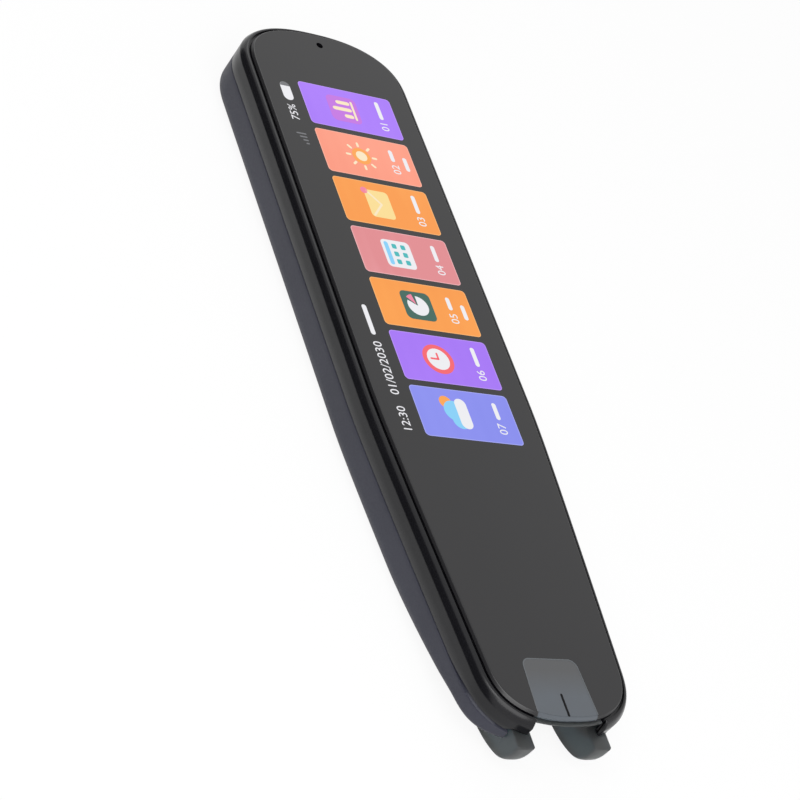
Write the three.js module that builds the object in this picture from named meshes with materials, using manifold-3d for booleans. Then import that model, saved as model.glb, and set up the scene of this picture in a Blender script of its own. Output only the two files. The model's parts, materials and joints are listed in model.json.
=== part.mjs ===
// Handheld scanning translator: a flat pen-shaped device with a touch screen, a glass front
// and a translucent two-footed nib that rides along a line of print.
// Millimetres. X is the width, Y runs from the nib to the top end, Z from the back to the glass.
// The origin is under the middle of the bounding box, on the plane of the flat back.

import * as THREE from 'three';
import { mergeVertices } from 'three/addons/utils/BufferGeometryUtils.js';
import Module from 'manifold-3d';

const wasm = await Module();
wasm.setup();

// Casing
const caseLength = 152.8;
const caseWidth = 36.5;
const caseDepth = 12.5;
const frameDepth = 5.5;
const partingGap = 0.15;
const wall = 1.3;
const backFillet = 3.0;
const clearance = 0.3;
const slideGap = 0.1;
const overrun = 3.0;

// Plan outline: superellipse caps at both ends and a taper towards the nib
const topCapDepth = 13.0;
const topCapPower = 2.2;
const endCapDepth = 11.0;
const endCapPower = 2.5;
const taperRun = 64.4;
const taperEase = 12.0;
const taperShare = 0.075;
const capSteps = 9;
const taperSteps = 6;

// Sweep of the back up to the parting line at the nib end
const sweepRun = 36.0;
const sweepPower = 1.5;

// Rise of the parting line where the nib comes out
const partingRise = 0.9;
const riseStart = 16.0;
const riseRun = 8.5;

// Front frame
const lipDrop = 0.4;
const bevelDepth = 1.6;
const bevelInset = 0.5;
const bevelSteps = 4;
const filletSteps = 5;

// Glass and the display under it
const glassThickness = 0.9;
const glassInset = 1.77;
const glassBevel = 0.3;
const glassGap = 0.55;
const adhesiveThickness = 0.2;
const adhesiveWidth = 1.6;
const ledgeThickness = 1.0;
const screenSideInset = 4.35;
const screenTopInset = 12.4;
const screenEndInset = 50.8;
const touchThickness = 0.25;
const panelThickness = 1.1;
const trayThickness = 1.2;
const trayRim = 0.6;
const micHoleWidth = 1.4;
const micInset = 4.6;

// Nib
const nibReach = 1.4;
const nibTravel = 0.8;
const footThickness = 3.4;
const footSpacing = 15.2;
const footFrontDepth = 4.5;
const footFlat = 1.2;
const footPull = 5.2;
const footCurveDepth = 5.9;
const footCurveRun = 4.3;
const skidRun = 12.8;
const skidRise = 0.3;
const skidTailRun = 6.0;
const skidTailRise = 1.6;
const webLap = 0.7;
const webDepth = 2.5;
const tongueThickness = 2.0;
const tongueInset = 0.9;
const tongueSlopeShare = 0.75;
const tongueFillet = 1.6;
const footRound = 0.8;
const tongueLength = 11.6;
const scanWallInset = 7.0;
const scanWallThickness = 2.0;
const scanWallHeight = 6.8;
const armHeight = 3.0;
const armLength = 23.7;
const crossbarThickness = 1.5;
const crossbarHeight = 2.0;

// Nib guide, its springs and its switch
const guidePlate = 1.5;
const guideBorder = 1.7;
const guideDepth = 6.2;
const guideBridge = 0.8;
const springLength = 4.2;
const springWidth = 2.4;
const springBore = 1.6;
const nibSwitchWidth = 4.0;
const nibSwitchHeight = 2.2;
const nibSwitchLength = 2.8;
const plungerWidth = 1.4;
const plungerSeat = 0.5;

// Scan camera and its lights
const cameraWidth = 6.6;
const cameraHeight = 4.2;
const cameraLength = 6.0;
const barrelWidth = 3.6;
const barrelLength = 2.6;
const lensWidth = 2.4;
const lensLength = 0.8;
const bracketHeight = 1.2;
const lightBoardWidth = 10.0;
const lightBoardThickness = 0.6;
const ledWidth = 1.6;
const ledHeight = 1.2;
const ledThickness = 0.7;
const ledSpacing = 7.6;
const cameraFlexWidth = 5.0;
const cameraFlexOverlap = 3.0;
const flexThickness = 0.15;

// Chassis and the screws that hold it under the front frame
const chassisThickness = 0.5;
const chassisBorder = 1.1;
const chassisEndInset = 4.3;
const earWidth = 2.6;
const earHoleWidth = 1.6;
const bossWidth = 2.4;
const bossPilotWidth = 1.5;
const bossEndInset = 5.0;
const bossCount = 3;

// Screws, all of one kind
const screwShankWidth = 1.2;
const screwShankLength = 1.4;
const screwHeadWidth = 2.2;
const screwHeadHeight = 0.6;

// Boards
const boardThickness = 1.0;
const boardGap = 1.35;
const boardSideGap = 4.45;
const mainBoardLength = 41.0;
const batteryGap = 2.0;
const postWidth = 3.2;
const postInset = 2.4;
const cornerRadius = 1.0;
const chipBorder = 3.5;
const processorSide = 12.0;
const processorHeight = 1.2;
const memoryWidth = 9.0;
const memoryLength = 7.5;
const memoryHeight = 1.0;
const shieldWidth = 13.0;
const shieldLength = 6.4;
const shieldHeight = 1.7;
const powerChipSide = 4.0;
const powerChipHeight = 0.9;
const powerChipEdge = 0.8;

// Battery
const batterySideGap = 3.95;
const batteryTapeThickness = 0.2;
const batteryTapeBorder = 2.0;
const batteryTopInset = 30.1;
const batteryCorner = 1.5;
const batteryTabWidth = 8.0;
const batteryTabLap = 2.5;
const linkFlexWidth = 4.0;
const linkFlexInset = 2.5;
const linkFlexLap = 4.0;
const displayFlexWidth = 12.0;
const displayFlexFoot = 5.0;

// Sub-board at the top end with the charging port, microphone and antenna
const subBoardEdge = 0.2;
const subBoardLength = 12.6;
const subBoardInset = 2.9;
const subPostGap = 1.13;
const subPostInset = 8.9;
const portWidth = 8.94;
const portHeight = 3.16;
const portWall = 0.3;
const portLength = 7.35;
const portInset = 0.4;
const portClearance = 0.15;
const portTongueWidth = 6.7;
const portTongueThickness = 0.7;
const portTongueLength = 5.4;
const portBase = 1.2;
const micWidth = 3.8;
const micHeight = 1.2;
const micBootWidth = 4.4;
const micPassageWidth = 1.0;
const antennaLength = 5.0;
const antennaWidth = 2.2;
const antennaHeight = 1.1;
const antennaEdge = 0.7;
const antennaInset = 10.6;

// Speaker and its grille
const speakerWidth = 13.0;
const speakerLength = 9.8;
const speakerHeight = 3.5;
const speakerSideGap = 2.0;
const speakerInset = 22.3;
const speakerMeshThickness = 0.2;
const grilleHoleWidth = 1.1;
const grillePitch = 2.0;
const grilleRows = 2;
const grilleColumns = 5;

// Rear camera behind a window in the back
const rearCameraSide = 7.0;
const rearCameraHeight = 4.4;
const rearCameraSideGap = 2.2;
const rearCameraInset = 22.3;
const rearCameraHole = 4.6;
const rearWindowWidth = 7.0;
const rearWindowThickness = 0.5;
const rearWindowDrop = 0.15;

// Power button in the right-hand wall of the frame
const buttonLength = 9.0;
const buttonHeight = 2.1;
const buttonProud = 0.5;
const buttonTravel = 0.35;
const buttonDrop = 4.1;
const buttonFlange = 0.6;
const buttonFlangeBorder = 0.5;
const switchRibThickness = 0.5;
const sideSwitchThickness = 0.8;
const sideSwitchLength = 4.0;
const sideSwitchHeight = 2.2;
const sidePlungerWidth = 1.2;
const sidePlungerSeat = 0.25;

// Facet counts
const roundSteps = 20;
const smallRoundSteps = 14;
const cornerSteps = 3;
const mergeTolerance = 1e-5;

// Levels and stations that follow from the sizes above
const overallLength = caseLength + nibReach;
const topY = overallLength / 2;
const endY = topY - caseLength;
const tipY = endY - nibReach;
const halfWidth = caseWidth / 2;
const taperStartY = endY + taperRun;
const innerHalfWidth = halfWidth - wall;
const coverHeight = caseDepth - frameDepth;
const lipZ = caseDepth - lipDrop;
const glassBottomZ = caseDepth - glassThickness;
const ledgeTopZ = glassBottomZ - adhesiveThickness;
const ledgeBottomZ = ledgeTopZ - ledgeThickness;
const touchBottomZ = glassBottomZ - touchThickness;
const panelBottomZ = touchBottomZ - panelThickness;
const trayBottomZ = panelBottomZ - trayThickness;
const chassisBottomZ = trayBottomZ - chassisThickness;
const boardTop = chassisBottomZ - boardGap;
const boardBottomZ = boardTop - boardThickness;
const screenTopY = topY - screenTopInset;
const screenEndY = endY + screenEndInset;
const screenWidth = caseWidth - 2 * screenSideInset;
const screenLength = screenTopY - screenEndY;
const screenMidY = (screenTopY + screenEndY) / 2;
const micY = topY - micInset;
const tongueTopZ = glassBottomZ - clearance;
const tongueBottomZ = tongueTopZ - tongueThickness;
const footFrontZ = caseDepth - footFrontDepth;
const footInnerX = (footSpacing - footThickness) / 2;
const footOuterX = footInnerX + footThickness;
const tongueWidth = 2 * (footInnerX + webLap);
const armEndY = endY + armLength;
const scanWallFrontY = endY + scanWallInset;
const scanWallRearY = scanWallFrontY + scanWallThickness;
const stopFrontY = armEndY + springLength;
const stopRearY = stopFrontY + guidePlate;
const mainBoardEndY = stopRearY + clearance;
const mainBoardTopY = mainBoardEndY + mainBoardLength;
const mainBoardWidth = 2 * (innerHalfWidth - boardSideGap);
const batteryTopY = topY - batteryTopInset;
const batteryEndY = mainBoardTopY + batteryGap;
const batteryLength = batteryTopY - batteryEndY;
const batteryWidth = 2 * (innerHalfWidth - batterySideGap);
const subPostOffset = portWidth / 2 + subPostGap + postWidth / 2;
const subBoardWidth = 2 * (subPostOffset + postWidth / 2 + subBoardEdge);
const subBoardTopY = topY - subBoardInset;
const subBoardEndY = subBoardTopY - subBoardLength;

// Point of a superellipse cap, as shares of its depth and of its half width
function capPoint(angle, power) {
  return { along: Math.cos(angle) ** (2 / power), across: Math.sin(angle) ** (2 / power) };
}

// Height of the parting line, which steps up smoothly near the nib
function partingAt(y) {
  const share = Math.min(1, Math.max(0, (endY + riseStart - y) / riseRun));
  return coverHeight + partingRise * share * share * (3 - 2 * share);
}

// How far the taper has drawn the side in at this Y
function taperAt(y) {
  const run = Math.max(0, taperStartY - y);
  return taperShare * run * run / (run + taperEase);
}

// Right-hand half of the plan outline, from the top end round to the nib end
function planHalf() {
  const points = [];
  for (let i = 0; i <= capSteps; i += 1) {
    const cap = capPoint(i / capSteps * Math.PI / 2, topCapPower);
    points.push([halfWidth * cap.across, topY - topCapDepth * (1 - cap.along)]);
  }
  const endCapY = endY + endCapDepth;
  for (let i = 0; i <= taperSteps; i += 1) {
    const y = taperStartY + (endCapY - taperStartY) * i / taperSteps;
    points.push([halfWidth - taperAt(y), y]);
  }
  for (let i = capSteps - 1; i >= 0; i -= 1) {
    const cap = capPoint(i / capSteps * Math.PI / 2, endCapPower);
    const y = endCapY - endCapDepth * cap.along;
    points.push([(halfWidth - taperAt(y)) * cap.across, y]);
  }
  return points;
}

// The same half outline moved inwards along its normals
function insetHalf(inset) {
  const base = planHalf();
  const last = base.length - 1;
  return base.map(([x, y], i) => {
    if (i === 0) return [0, y - inset];
    if (i === last) return [0, y + inset];
    const before = base[i - 1];
    const after = base[i + 1];
    const tangentX = after[0] - before[0];
    const tangentY = after[1] - before[1];
    const size = Math.hypot(tangentX, tangentY);
    return [x + inset * tangentY / size, y - inset * tangentX / size];
  });
}

// Closed solid through a stack of inset outlines; each level gives an inset and a height function
function stack(levels) {
  const halves = levels.map((level) => insetHalf(level.inset));
  const last = halves[0].length - 1;
  const ringSize = 2 * last;
  const positions = [];
  levels.forEach((level, k) => {
    for (let j = 0; j < ringSize; j += 1) {
      const i = j <= last ? j : ringSize - j;
      const [x, y] = halves[k][i];
      positions.push(j <= last ? -x : x, y, level.height(y));
    }
  });
  const faces = [];
  for (let k = 0; k + 1 < levels.length; k += 1) {
    for (let j = 0; j < ringSize; j += 1) {
      const next = (j + 1) % ringSize;
      const low = k * ringSize;
      const high = low + ringSize;
      faces.push(low + j, low + next, high + next);
      faces.push(low + j, high + next, high + j);
    }
  }
  const cap = (ring, flip) => {
    for (let i = 0; i < last; i += 1) {
      const left = [ring + i, ring + i + 1];
      const right = [ring + (ringSize - i) % ringSize, ring + ringSize - i - 1];
      const faceA = [left[0], left[1], right[1]];
      const faceB = [left[0], right[1], right[0]];
      if (i + 1 < last) faces.push(...(flip ? faceA.reverse() : faceA));
      else faces.push(...(flip ? [right[0], left[1], left[0]] : [left[0], left[1], right[0]]));
      if (i > 0 && i + 1 < last) faces.push(...(flip ? faceB.reverse() : faceB));
    }
  };
  cap(0, true);
  cap((levels.length - 1) * ringSize, false);
  const geometry = new THREE.BufferGeometry();
  geometry.setAttribute('position', new THREE.Float32BufferAttribute(positions, 3));
  geometry.setIndex(faces);
  return solid(geometry);
}

// A closed three.js geometry as a solid that can be joined and cut
function solid(geometry) {
  geometry.deleteAttribute('normal');
  geometry.deleteAttribute('uv');
  const merged = mergeVertices(geometry, mergeTolerance);
  return new wasm.Manifold(new wasm.Mesh({
    numProp: 3,
    vertProperties: Float32Array.from(merged.attributes.position.array),
    triVerts: Uint32Array.from(merged.index.array),
  }));
}

// Box between two corners
function block(x0, x1, y0, y1, z0, z1) {
  const geometry = new THREE.BoxGeometry(x1 - x0, y1 - y0, z1 - z0);
  geometry.translate((x0 + x1) / 2, (y0 + y1) / 2, (z0 + z1) / 2);
  return solid(geometry);
}

// Rounded rectangle centred on a point, as a path
function roundedPath(width, height, radius) {
  const shape = new THREE.Shape();
  const a = width / 2 - radius;
  const b = height / 2 - radius;
  shape.absarc(a, b, radius, 0, Math.PI / 2);
  shape.absarc(-a, b, radius, Math.PI / 2, Math.PI);
  shape.absarc(-a, -b, radius, Math.PI, Math.PI * 3 / 2);
  shape.absarc(a, -b, radius, Math.PI * 3 / 2, Math.PI * 2);
  return shape;
}

// Plate with rounded corners lying in the plan
function slab(width, length, radius, x, y, z0, z1) {
  const path = roundedPath(width, length, radius);
  const geometry = new THREE.ExtrudeGeometry(path, {
    depth: z1 - z0, bevelEnabled: false, curveSegments: cornerSteps,
  });
  geometry.translate(x, y, z0);
  return solid(geometry);
}

// Bar with a rounded section that runs along Y
function barAlongY(width, height, radius, x, y0, y1, z) {
  const geometry = new THREE.ExtrudeGeometry(roundedPath(width, height, radius), {
    depth: y1 - y0, bevelEnabled: false, curveSegments: cornerSteps * 2,
  });
  geometry.rotateX(Math.PI / 2);
  geometry.translate(x, y1, z);
  return solid(geometry);
}

// Bar with a rounded section that runs along X
function barAlongX(length, height, radius, x0, x1, y, z) {
  const geometry = new THREE.ExtrudeGeometry(roundedPath(length, height, radius), {
    depth: x1 - x0, bevelEnabled: false, curveSegments: cornerSteps,
  });
  const basis = new THREE.Matrix4().makeBasis(
    new THREE.Vector3(0, 1, 0), new THREE.Vector3(0, 0, 1), new THREE.Vector3(1, 0, 0));
  geometry.applyMatrix4(basis);
  geometry.translate(x0, y, z);
  return solid(geometry);
}

// Upright round bar
function post(width, x, y, z0, z1, steps = smallRoundSteps) {
  const geometry = new THREE.CylinderGeometry(width / 2, width / 2, z1 - z0, steps);
  geometry.rotateX(Math.PI / 2);
  geometry.translate(x, y, (z0 + z1) / 2);
  return solid(geometry);
}

// Round bar along Y
function rod(width, x, y0, y1, z, steps = roundSteps) {
  const geometry = new THREE.CylinderGeometry(width / 2, width / 2, y1 - y0, steps);
  geometry.translate(x, (y0 + y1) / 2, z);
  return solid(geometry);
}

// Profile in Y and Z carried across X, its edges rounded off
function profileAcross(shape, x0, x1, round) {
  const geometry = new THREE.ExtrudeGeometry(shape, {
    depth: x1 - x0 - 2 * round,
    curveSegments: cornerSteps * 3,
    bevelThickness: round,
    bevelSize: round,
    bevelOffset: -round,
    bevelSegments: cornerSteps,
  });
  const basis = new THREE.Matrix4().makeBasis(
    new THREE.Vector3(0, 1, 0), new THREE.Vector3(0, 0, 1), new THREE.Vector3(1, 0, 0));
  geometry.applyMatrix4(basis);
  geometry.translate(x0 + round, 0, 0);
  return solid(geometry);
}

function joined(solids) {
  return solids.reduce((sum, piece) => sum.add(piece));
}

const flat = (z) => () => z;

// Height of a surface that lies at the given level on the flat back and sweeps up at the nib
function swept(level, inset) {
  return (y) => {
    const distance = Math.max(0, y - endY - inset);
    const share = Math.max(0, 1 - distance / sweepRun);
    const drop = (1 - share ** sweepPower) ** (1 / sweepPower);
    const top = partingAt(y);
    return top - (top - level) * drop;
  };
}

const part = new THREE.Group();

function addPiece(name, piece, colour, roughness, metalness = 0) {
  const mesh = piece.getMesh();
  const geometry = new THREE.BufferGeometry();
  geometry.setAttribute('position', new THREE.Float32BufferAttribute(mesh.vertProperties, 3));
  geometry.setIndex(Array.from(mesh.triVerts));
  const flatGeometry = geometry.toNonIndexed();
  flatGeometry.computeVertexNormals();
  const material = new THREE.MeshStandardMaterial({ color: colour, roughness, metalness });
  const node = new THREE.Mesh(flatGeometry, material);
  node.name = name;
  part.add(node);
}

// Places of the screws
const chassisTopY = screenTopY - clearance;
const chassisEndY = screenEndY + chassisEndInset;
const chassisWidth = screenWidth - 2 * chassisBorder;
const chassisLength = chassisTopY - chassisEndY;
const bossSpacing = (chassisLength - 2 * bossEndInset) / (bossCount - 1);
const bossX = innerHalfWidth - clearance - earWidth / 2;
const bossPlaces = [];
for (let i = 0; i < bossCount; i += 1) {
  const y = chassisTopY - bossEndInset - i * bossSpacing;
  bossPlaces.push([-bossX + taperAt(y), y], [bossX - taperAt(y), y]);
}
const mainPostX = mainBoardWidth / 2 - postInset;
const boardPlaces = [
  [-mainPostX, mainBoardTopY - postInset],
  [mainPostX, mainBoardTopY - postInset],
  [-mainPostX, mainBoardEndY + postInset],
  [mainPostX, mainBoardEndY + postInset],
  [-subPostOffset, topY - subPostInset],
  [subPostOffset, topY - subPostInset],
];

// Round pilot holes stay open above the plane that carries the board
const pilotDepth = screwShankLength + clearance;

// Rear cover: a tray with a rounded back edge, swept up at the nib end
const filletLevels = [];
for (let i = 0; i <= filletSteps; i += 1) {
  const angle = i / filletSteps * Math.PI / 2;
  const inset = backFillet * (1 - Math.sin(angle));
  filletLevels.push({ inset, height: swept(backFillet * (1 - Math.cos(angle)), 0) });
}
const coverOuter = stack([...filletLevels, { inset: 0, height: partingAt }]);
const innerFillet = backFillet - wall;
const cavityLevels = [];
for (let i = 0; i <= filletSteps; i += 1) {
  const angle = i / filletSteps * Math.PI / 2;
  const inset = wall + innerFillet * (1 - Math.sin(angle));
  cavityLevels.push({ inset, height: swept(wall + innerFillet * (1 - Math.cos(angle)), wall) });
}
const cavity = stack([...cavityLevels, { inset: wall, height: flat(coverHeight + overrun) }]);
const slotInnerX = footInnerX - clearance;
const slotOuterX = footOuterX + clearance;
const skidEndY = tipY + skidRun + skidTailRun;
const slotEndY = skidEndY + nibTravel + clearance;
const centreNotchY = scanWallRearY + nibTravel + clearance;
const postSolids = boardPlaces.map(([x, y]) => post(postWidth, x, y, wall / 2, boardBottomZ));
const pilotSolids = boardPlaces.map(([x, y]) =>
  post(bossPilotWidth, x, y, boardBottomZ - pilotDepth, boardBottomZ + overrun));
let rearCover = coverOuter.subtract(cavity).add(joined(postSolids)).subtract(joined(pilotSolids));
rearCover = rearCover
  .subtract(block(-slotOuterX, -slotInnerX, tipY - overrun, slotEndY, -overrun, caseDepth))
  .subtract(block(slotInnerX, slotOuterX, tipY - overrun, slotEndY, -overrun, caseDepth))
  .subtract(block(-slotOuterX, slotOuterX, tipY - overrun, centreNotchY, -overrun, caseDepth));
const portZ = boardBottomZ - portHeight / 2;
const portMouthY = topY - portInset;
const portRearY = portMouthY - portLength;
const portHole = barAlongY(portWidth + 2 * portClearance, portHeight + 2 * portClearance,
  portHeight / 2, 0, portRearY - portClearance, topY + overrun, portZ);
const speakerX = innerHalfWidth - speakerSideGap - speakerWidth / 2;
const speakerY = topY - speakerInset;
const rearCameraX = -(innerHalfWidth - rearCameraSideGap - rearCameraSide / 2);
const rearCameraY = topY - rearCameraInset;
const grilleHoles = [];
for (let row = 0; row < grilleRows; row += 1) {
  for (let column = 0; column < grilleColumns; column += 1) {
    const x = speakerX + (column - (grilleColumns - 1) / 2) * grillePitch;
    const y = speakerY + (row - (grilleRows - 1) / 2) * grillePitch;
    grilleHoles.push(post(grilleHoleWidth, x, y, -overrun, wall + overrun / 2));
  }
}
const windowTopZ = rearWindowDrop + rearWindowThickness;
rearCover = rearCover
  .subtract(portHole)
  .subtract(joined(grilleHoles))
  .subtract(post(rearCameraHole, rearCameraX, rearCameraY, -overrun, wall + overrun / 2, roundSteps))
  .subtract(post(rearWindowWidth + 2 * clearance, rearCameraX, rearCameraY, -overrun, windowTopZ,
    roundSteps));
addPiece('rear_cover', rearCover, 0x3b3e47, 0.6);

// Front frame: upright wall, rounded bevel up to a lip, and a ledge that carries the glass
const bevelStartZ = lipZ - bevelDepth;
const frameLevels = [{ inset: 0, height: (y) => partingAt(y) + partingGap }];
for (let i = 0; i <= bevelSteps; i += 1) {
  const angle = i / bevelSteps * Math.PI / 2;
  const inset = bevelInset * (1 - Math.cos(angle));
  frameLevels.push({ inset, height: flat(bevelStartZ + bevelDepth * Math.sin(angle)) });
}
const pocketInset = glassInset - glassGap;
const glassPocket = stack([
  { inset: pocketInset, height: flat(ledgeTopZ) },
  { inset: pocketInset, height: flat(caseDepth + overrun) },
]);
const frameCavity = stack([
  { inset: wall, height: flat(coverHeight - overrun) },
  { inset: wall, height: flat(ledgeBottomZ) },
]);
const ledgeMidZ = ledgeBottomZ + ledgeThickness / 2;
const bossSolids = bossPlaces.map(([x, y]) => post(bossWidth, x, y, trayBottomZ, ledgeMidZ));
const bossPilots = bossPlaces.map(([x, y]) =>
  post(bossPilotWidth, x, y, trayBottomZ - overrun, chassisBottomZ + pilotDepth));
const screenHole = slab(screenWidth + 2 * clearance, screenLength + 2 * clearance, cornerRadius,
  0, screenMidY, ledgeBottomZ - overrun, caseDepth);
const tongueEndY = endY + tongueInset;
const tongueRearY = tongueEndY + tongueLength;
const tongueHole = block(-tongueWidth / 2 - clearance, tongueWidth / 2 + clearance, tipY - overrun,
  tongueRearY + nibTravel + clearance, tongueBottomZ - overrun, caseDepth + overrun);
const footHole = block(-slotOuterX, slotOuterX, tipY - overrun, endY + wall + overrun,
  coverHeight - overrun, footFrontZ + clearance);
const buttonY = chassisTopY - bossEndInset - bossSpacing / 2;
const buttonZ = caseDepth - buttonDrop;
const buttonHole = barAlongX(buttonLength + 2 * clearance, buttonHeight + 2 * clearance,
  buttonHeight / 2, innerHalfWidth - overrun / 3, halfWidth + overrun, buttonY, buttonZ);
const ribX1 = screenWidth / 2 + clearance + switchRibThickness + clearance;
const ribX0 = ribX1 - switchRibThickness;
const ribHalf = sideSwitchLength / 2 + buttonFlangeBorder;
const ribBottomZ = buttonZ - sideSwitchHeight / 2;
const switchRib = block(ribX0, ribX1, buttonY - ribHalf, buttonY + ribHalf, ribBottomZ, ledgeMidZ);
const frontFrame = stack(frameLevels)
  .subtract(glassPocket)
  .subtract(frameCavity)
  .add(joined(bossSolids))
  .add(switchRib)
  .subtract(joined(bossPilots))
  .subtract(screenHole)
  .subtract(tongueHole)
  .subtract(footHole)
  .subtract(buttonHole)
  .subtract(post(micPassageWidth, 0, micY, ledgeBottomZ - overrun, caseDepth));
addPiece('front_frame', frontFrame, 0x26272b, 0.35);

// Cover glass with a small bevel round its face
const micHole = post(micHoleWidth, 0, micY, glassBottomZ - overrun, caseDepth + overrun);
const coverGlass = stack([
  { inset: glassInset, height: flat(glassBottomZ) },
  { inset: glassInset, height: flat(caseDepth - glassBevel) },
  { inset: glassInset + glassBevel, height: flat(caseDepth) },
]).subtract(micHole);
addPiece('cover_glass', coverGlass, 0x1b1c1f, 0.08);

// Adhesive ring that bonds the glass to the ledge, open at the nib's tongue and the microphone
const ringInner = stack([
  { inset: glassInset + adhesiveWidth, height: flat(ledgeTopZ - overrun) },
  { inset: glassInset + adhesiveWidth, height: flat(caseDepth) },
]);
const adhesive = stack([
  { inset: glassInset, height: flat(ledgeTopZ) },
  { inset: glassInset, height: flat(glassBottomZ) },
]).subtract(ringInner).subtract(tongueHole).subtract(screenHole);
addPiece('glass_adhesive', adhesive, 0x101012, 0.7);

// Display stack under the glass
addPiece('touch_sensor', slab(screenWidth, screenLength, cornerRadius, 0, screenMidY,
  touchBottomZ, glassBottomZ), 0x30343a, 0.2);
addPiece('lcd_panel', slab(screenWidth, screenLength, cornerRadius, 0, screenMidY,
  panelBottomZ, touchBottomZ), 0x14161a, 0.25);
addPiece('backlight_tray', slab(screenWidth, screenLength, cornerRadius, 0, screenMidY,
  trayBottomZ, panelBottomZ).subtract(slab(screenWidth - 2 * trayRim, screenLength - 2 * trayRim,
  cornerRadius, 0, screenMidY, trayBottomZ + trayRim, panelBottomZ + overrun)), 0xb9bdc2, 0.4, 0.8);
addPiece('backlight_panel', slab(screenWidth - 2 * trayRim - 2 * clearance,
  screenLength - 2 * trayRim - 2 * clearance, cornerRadius, 0, screenMidY,
  trayBottomZ + trayRim, panelBottomZ), 0xe8ebee, 0.5);

// Flex that folds from the display's lower end to the main board
const displayFlexY = screenEndY - clearance;
const displayFlex = block(-displayFlexWidth / 2, displayFlexWidth / 2, displayFlexY - flexThickness,
  displayFlexY, boardTop, panelBottomZ)
  .add(block(-displayFlexWidth / 2, displayFlexWidth / 2, displayFlexY - displayFlexFoot,
    displayFlexY, boardTop, boardTop + flexThickness));
addPiece('display_flex', displayFlex, 0xb8702a, 0.4);

// Sheet-steel chassis behind the display, with an ear at each boss
const ears = bossPlaces.map(([x, y]) =>
  block(Math.min(0, x), Math.max(0, x), y - earWidth / 2, y + earWidth / 2, chassisBottomZ, trayBottomZ)
    .add(post(earWidth, x, y, chassisBottomZ, trayBottomZ)));
const earHoles = bossPlaces.map(([x, y]) => post(earHoleWidth, x, y, chassisBottomZ - overrun, caseDepth));
const chassis = slab(chassisWidth, chassisLength, cornerRadius, 0, (chassisTopY + chassisEndY) / 2,
  chassisBottomZ, trayBottomZ).add(joined(ears)).subtract(joined(earHoles));
addPiece('inner_chassis', chassis, 0xa6a9ad, 0.35, 0.9);

// Screws: the chassis ones point up into the bosses, the board ones down into the posts
function screw(x, y, seatZ, up) {
  const headEnd = up ? seatZ - screwHeadHeight : seatZ + screwHeadHeight;
  const shankEnd = up ? seatZ + screwShankLength : seatZ - screwShankLength;
  const head = post(screwHeadWidth, x, y, Math.min(seatZ, headEnd), Math.max(seatZ, headEnd));
  const shank = post(screwShankWidth, x, y, Math.min(seatZ, shankEnd), Math.max(seatZ, shankEnd));
  return head.add(shank);
}
bossPlaces.forEach(([x, y], i) => {
  addPiece(`chassis_screw_${i + 1}`, screw(x, y, chassisBottomZ, true), 0xc4c6c9, 0.3, 1);
});
boardPlaces.forEach(([x, y], i) => {
  addPiece(`board_screw_${i + 1}`, screw(x, y, boardTop, false), 0xc4c6c9, 0.3, 1);
});

// Main board and the parts under it
const boardHoles = joined(boardPlaces.map(([x, y]) =>
  post(earHoleWidth, x, y, boardBottomZ - overrun, boardTop + overrun)));
const mainMidY = (mainBoardTopY + mainBoardEndY) / 2;
const mainBoard = slab(mainBoardWidth, mainBoardLength, cornerRadius, 0, mainMidY, boardBottomZ,
  boardTop).subtract(boardHoles);
addPiece('main_board', mainBoard, 0x1f5136, 0.5);
const underBoard = (width, length, height, x, y) => block(x - width / 2, x + width / 2,
  y - length / 2, y + length / 2, boardBottomZ - height, boardBottomZ);
const chipLengths = processorSide + memoryLength + shieldLength;
const chipGap = (mainBoardLength - 2 * chipBorder - chipLengths) / 2;
const processorY = mainBoardTopY - chipBorder - processorSide / 2;
const memoryY = processorY - (processorSide + memoryLength) / 2 - chipGap;
const shieldY = mainBoardEndY + chipBorder + shieldLength / 2;
const powerChipX = (mainBoardWidth - powerChipSide) / 2 - powerChipEdge;
addPiece('processor', underBoard(processorSide, processorSide, processorHeight, 0, processorY),
  0x18191b, 0.4);
addPiece('memory_chip', underBoard(memoryWidth, memoryLength, memoryHeight, 0, memoryY),
  0x1c1d20, 0.45);
addPiece('radio_shield', underBoard(shieldWidth, shieldLength, shieldHeight, 0, shieldY),
  0xc2c5c8, 0.3, 1);
addPiece('power_chip', underBoard(powerChipSide, powerChipSide, powerChipHeight, powerChipX,
  memoryY), 0x202124, 0.45);

// Battery on its tape, its tab, and the flex that crosses it
const batteryMidY = (batteryTopY + batteryEndY) / 2;
const tapeTopZ = wall + batteryTapeThickness;
addPiece('battery_tape', slab(batteryWidth - 2 * batteryTapeBorder, batteryLength - 2 * batteryTapeBorder,
  cornerRadius, 0, batteryMidY, wall, tapeTopZ), 0xe6e6e2, 0.8);
addPiece('battery', slab(batteryWidth, batteryLength, batteryCorner, 0, batteryMidY, tapeTopZ,
  boardTop), 0xb9bec6, 0.35, 0.6);
addPiece('battery_tab', block(-batteryTabWidth / 2, batteryTabWidth / 2, mainBoardTopY - batteryTabLap,
  batteryEndY + batteryTabLap, boardTop, boardTop + flexThickness), 0xb8702a, 0.4);
const linkFlexOffset = mainBoardWidth / 2 - linkFlexInset;
addPiece('board_link_flex', block(linkFlexOffset - linkFlexWidth / 2, linkFlexOffset + linkFlexWidth / 2,
  mainBoardTopY - linkFlexLap - postInset * 2, subBoardEndY + linkFlexLap, boardTop + screwHeadHeight,
  boardTop + screwHeadHeight + flexThickness), 0xb8702a, 0.4);

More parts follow.
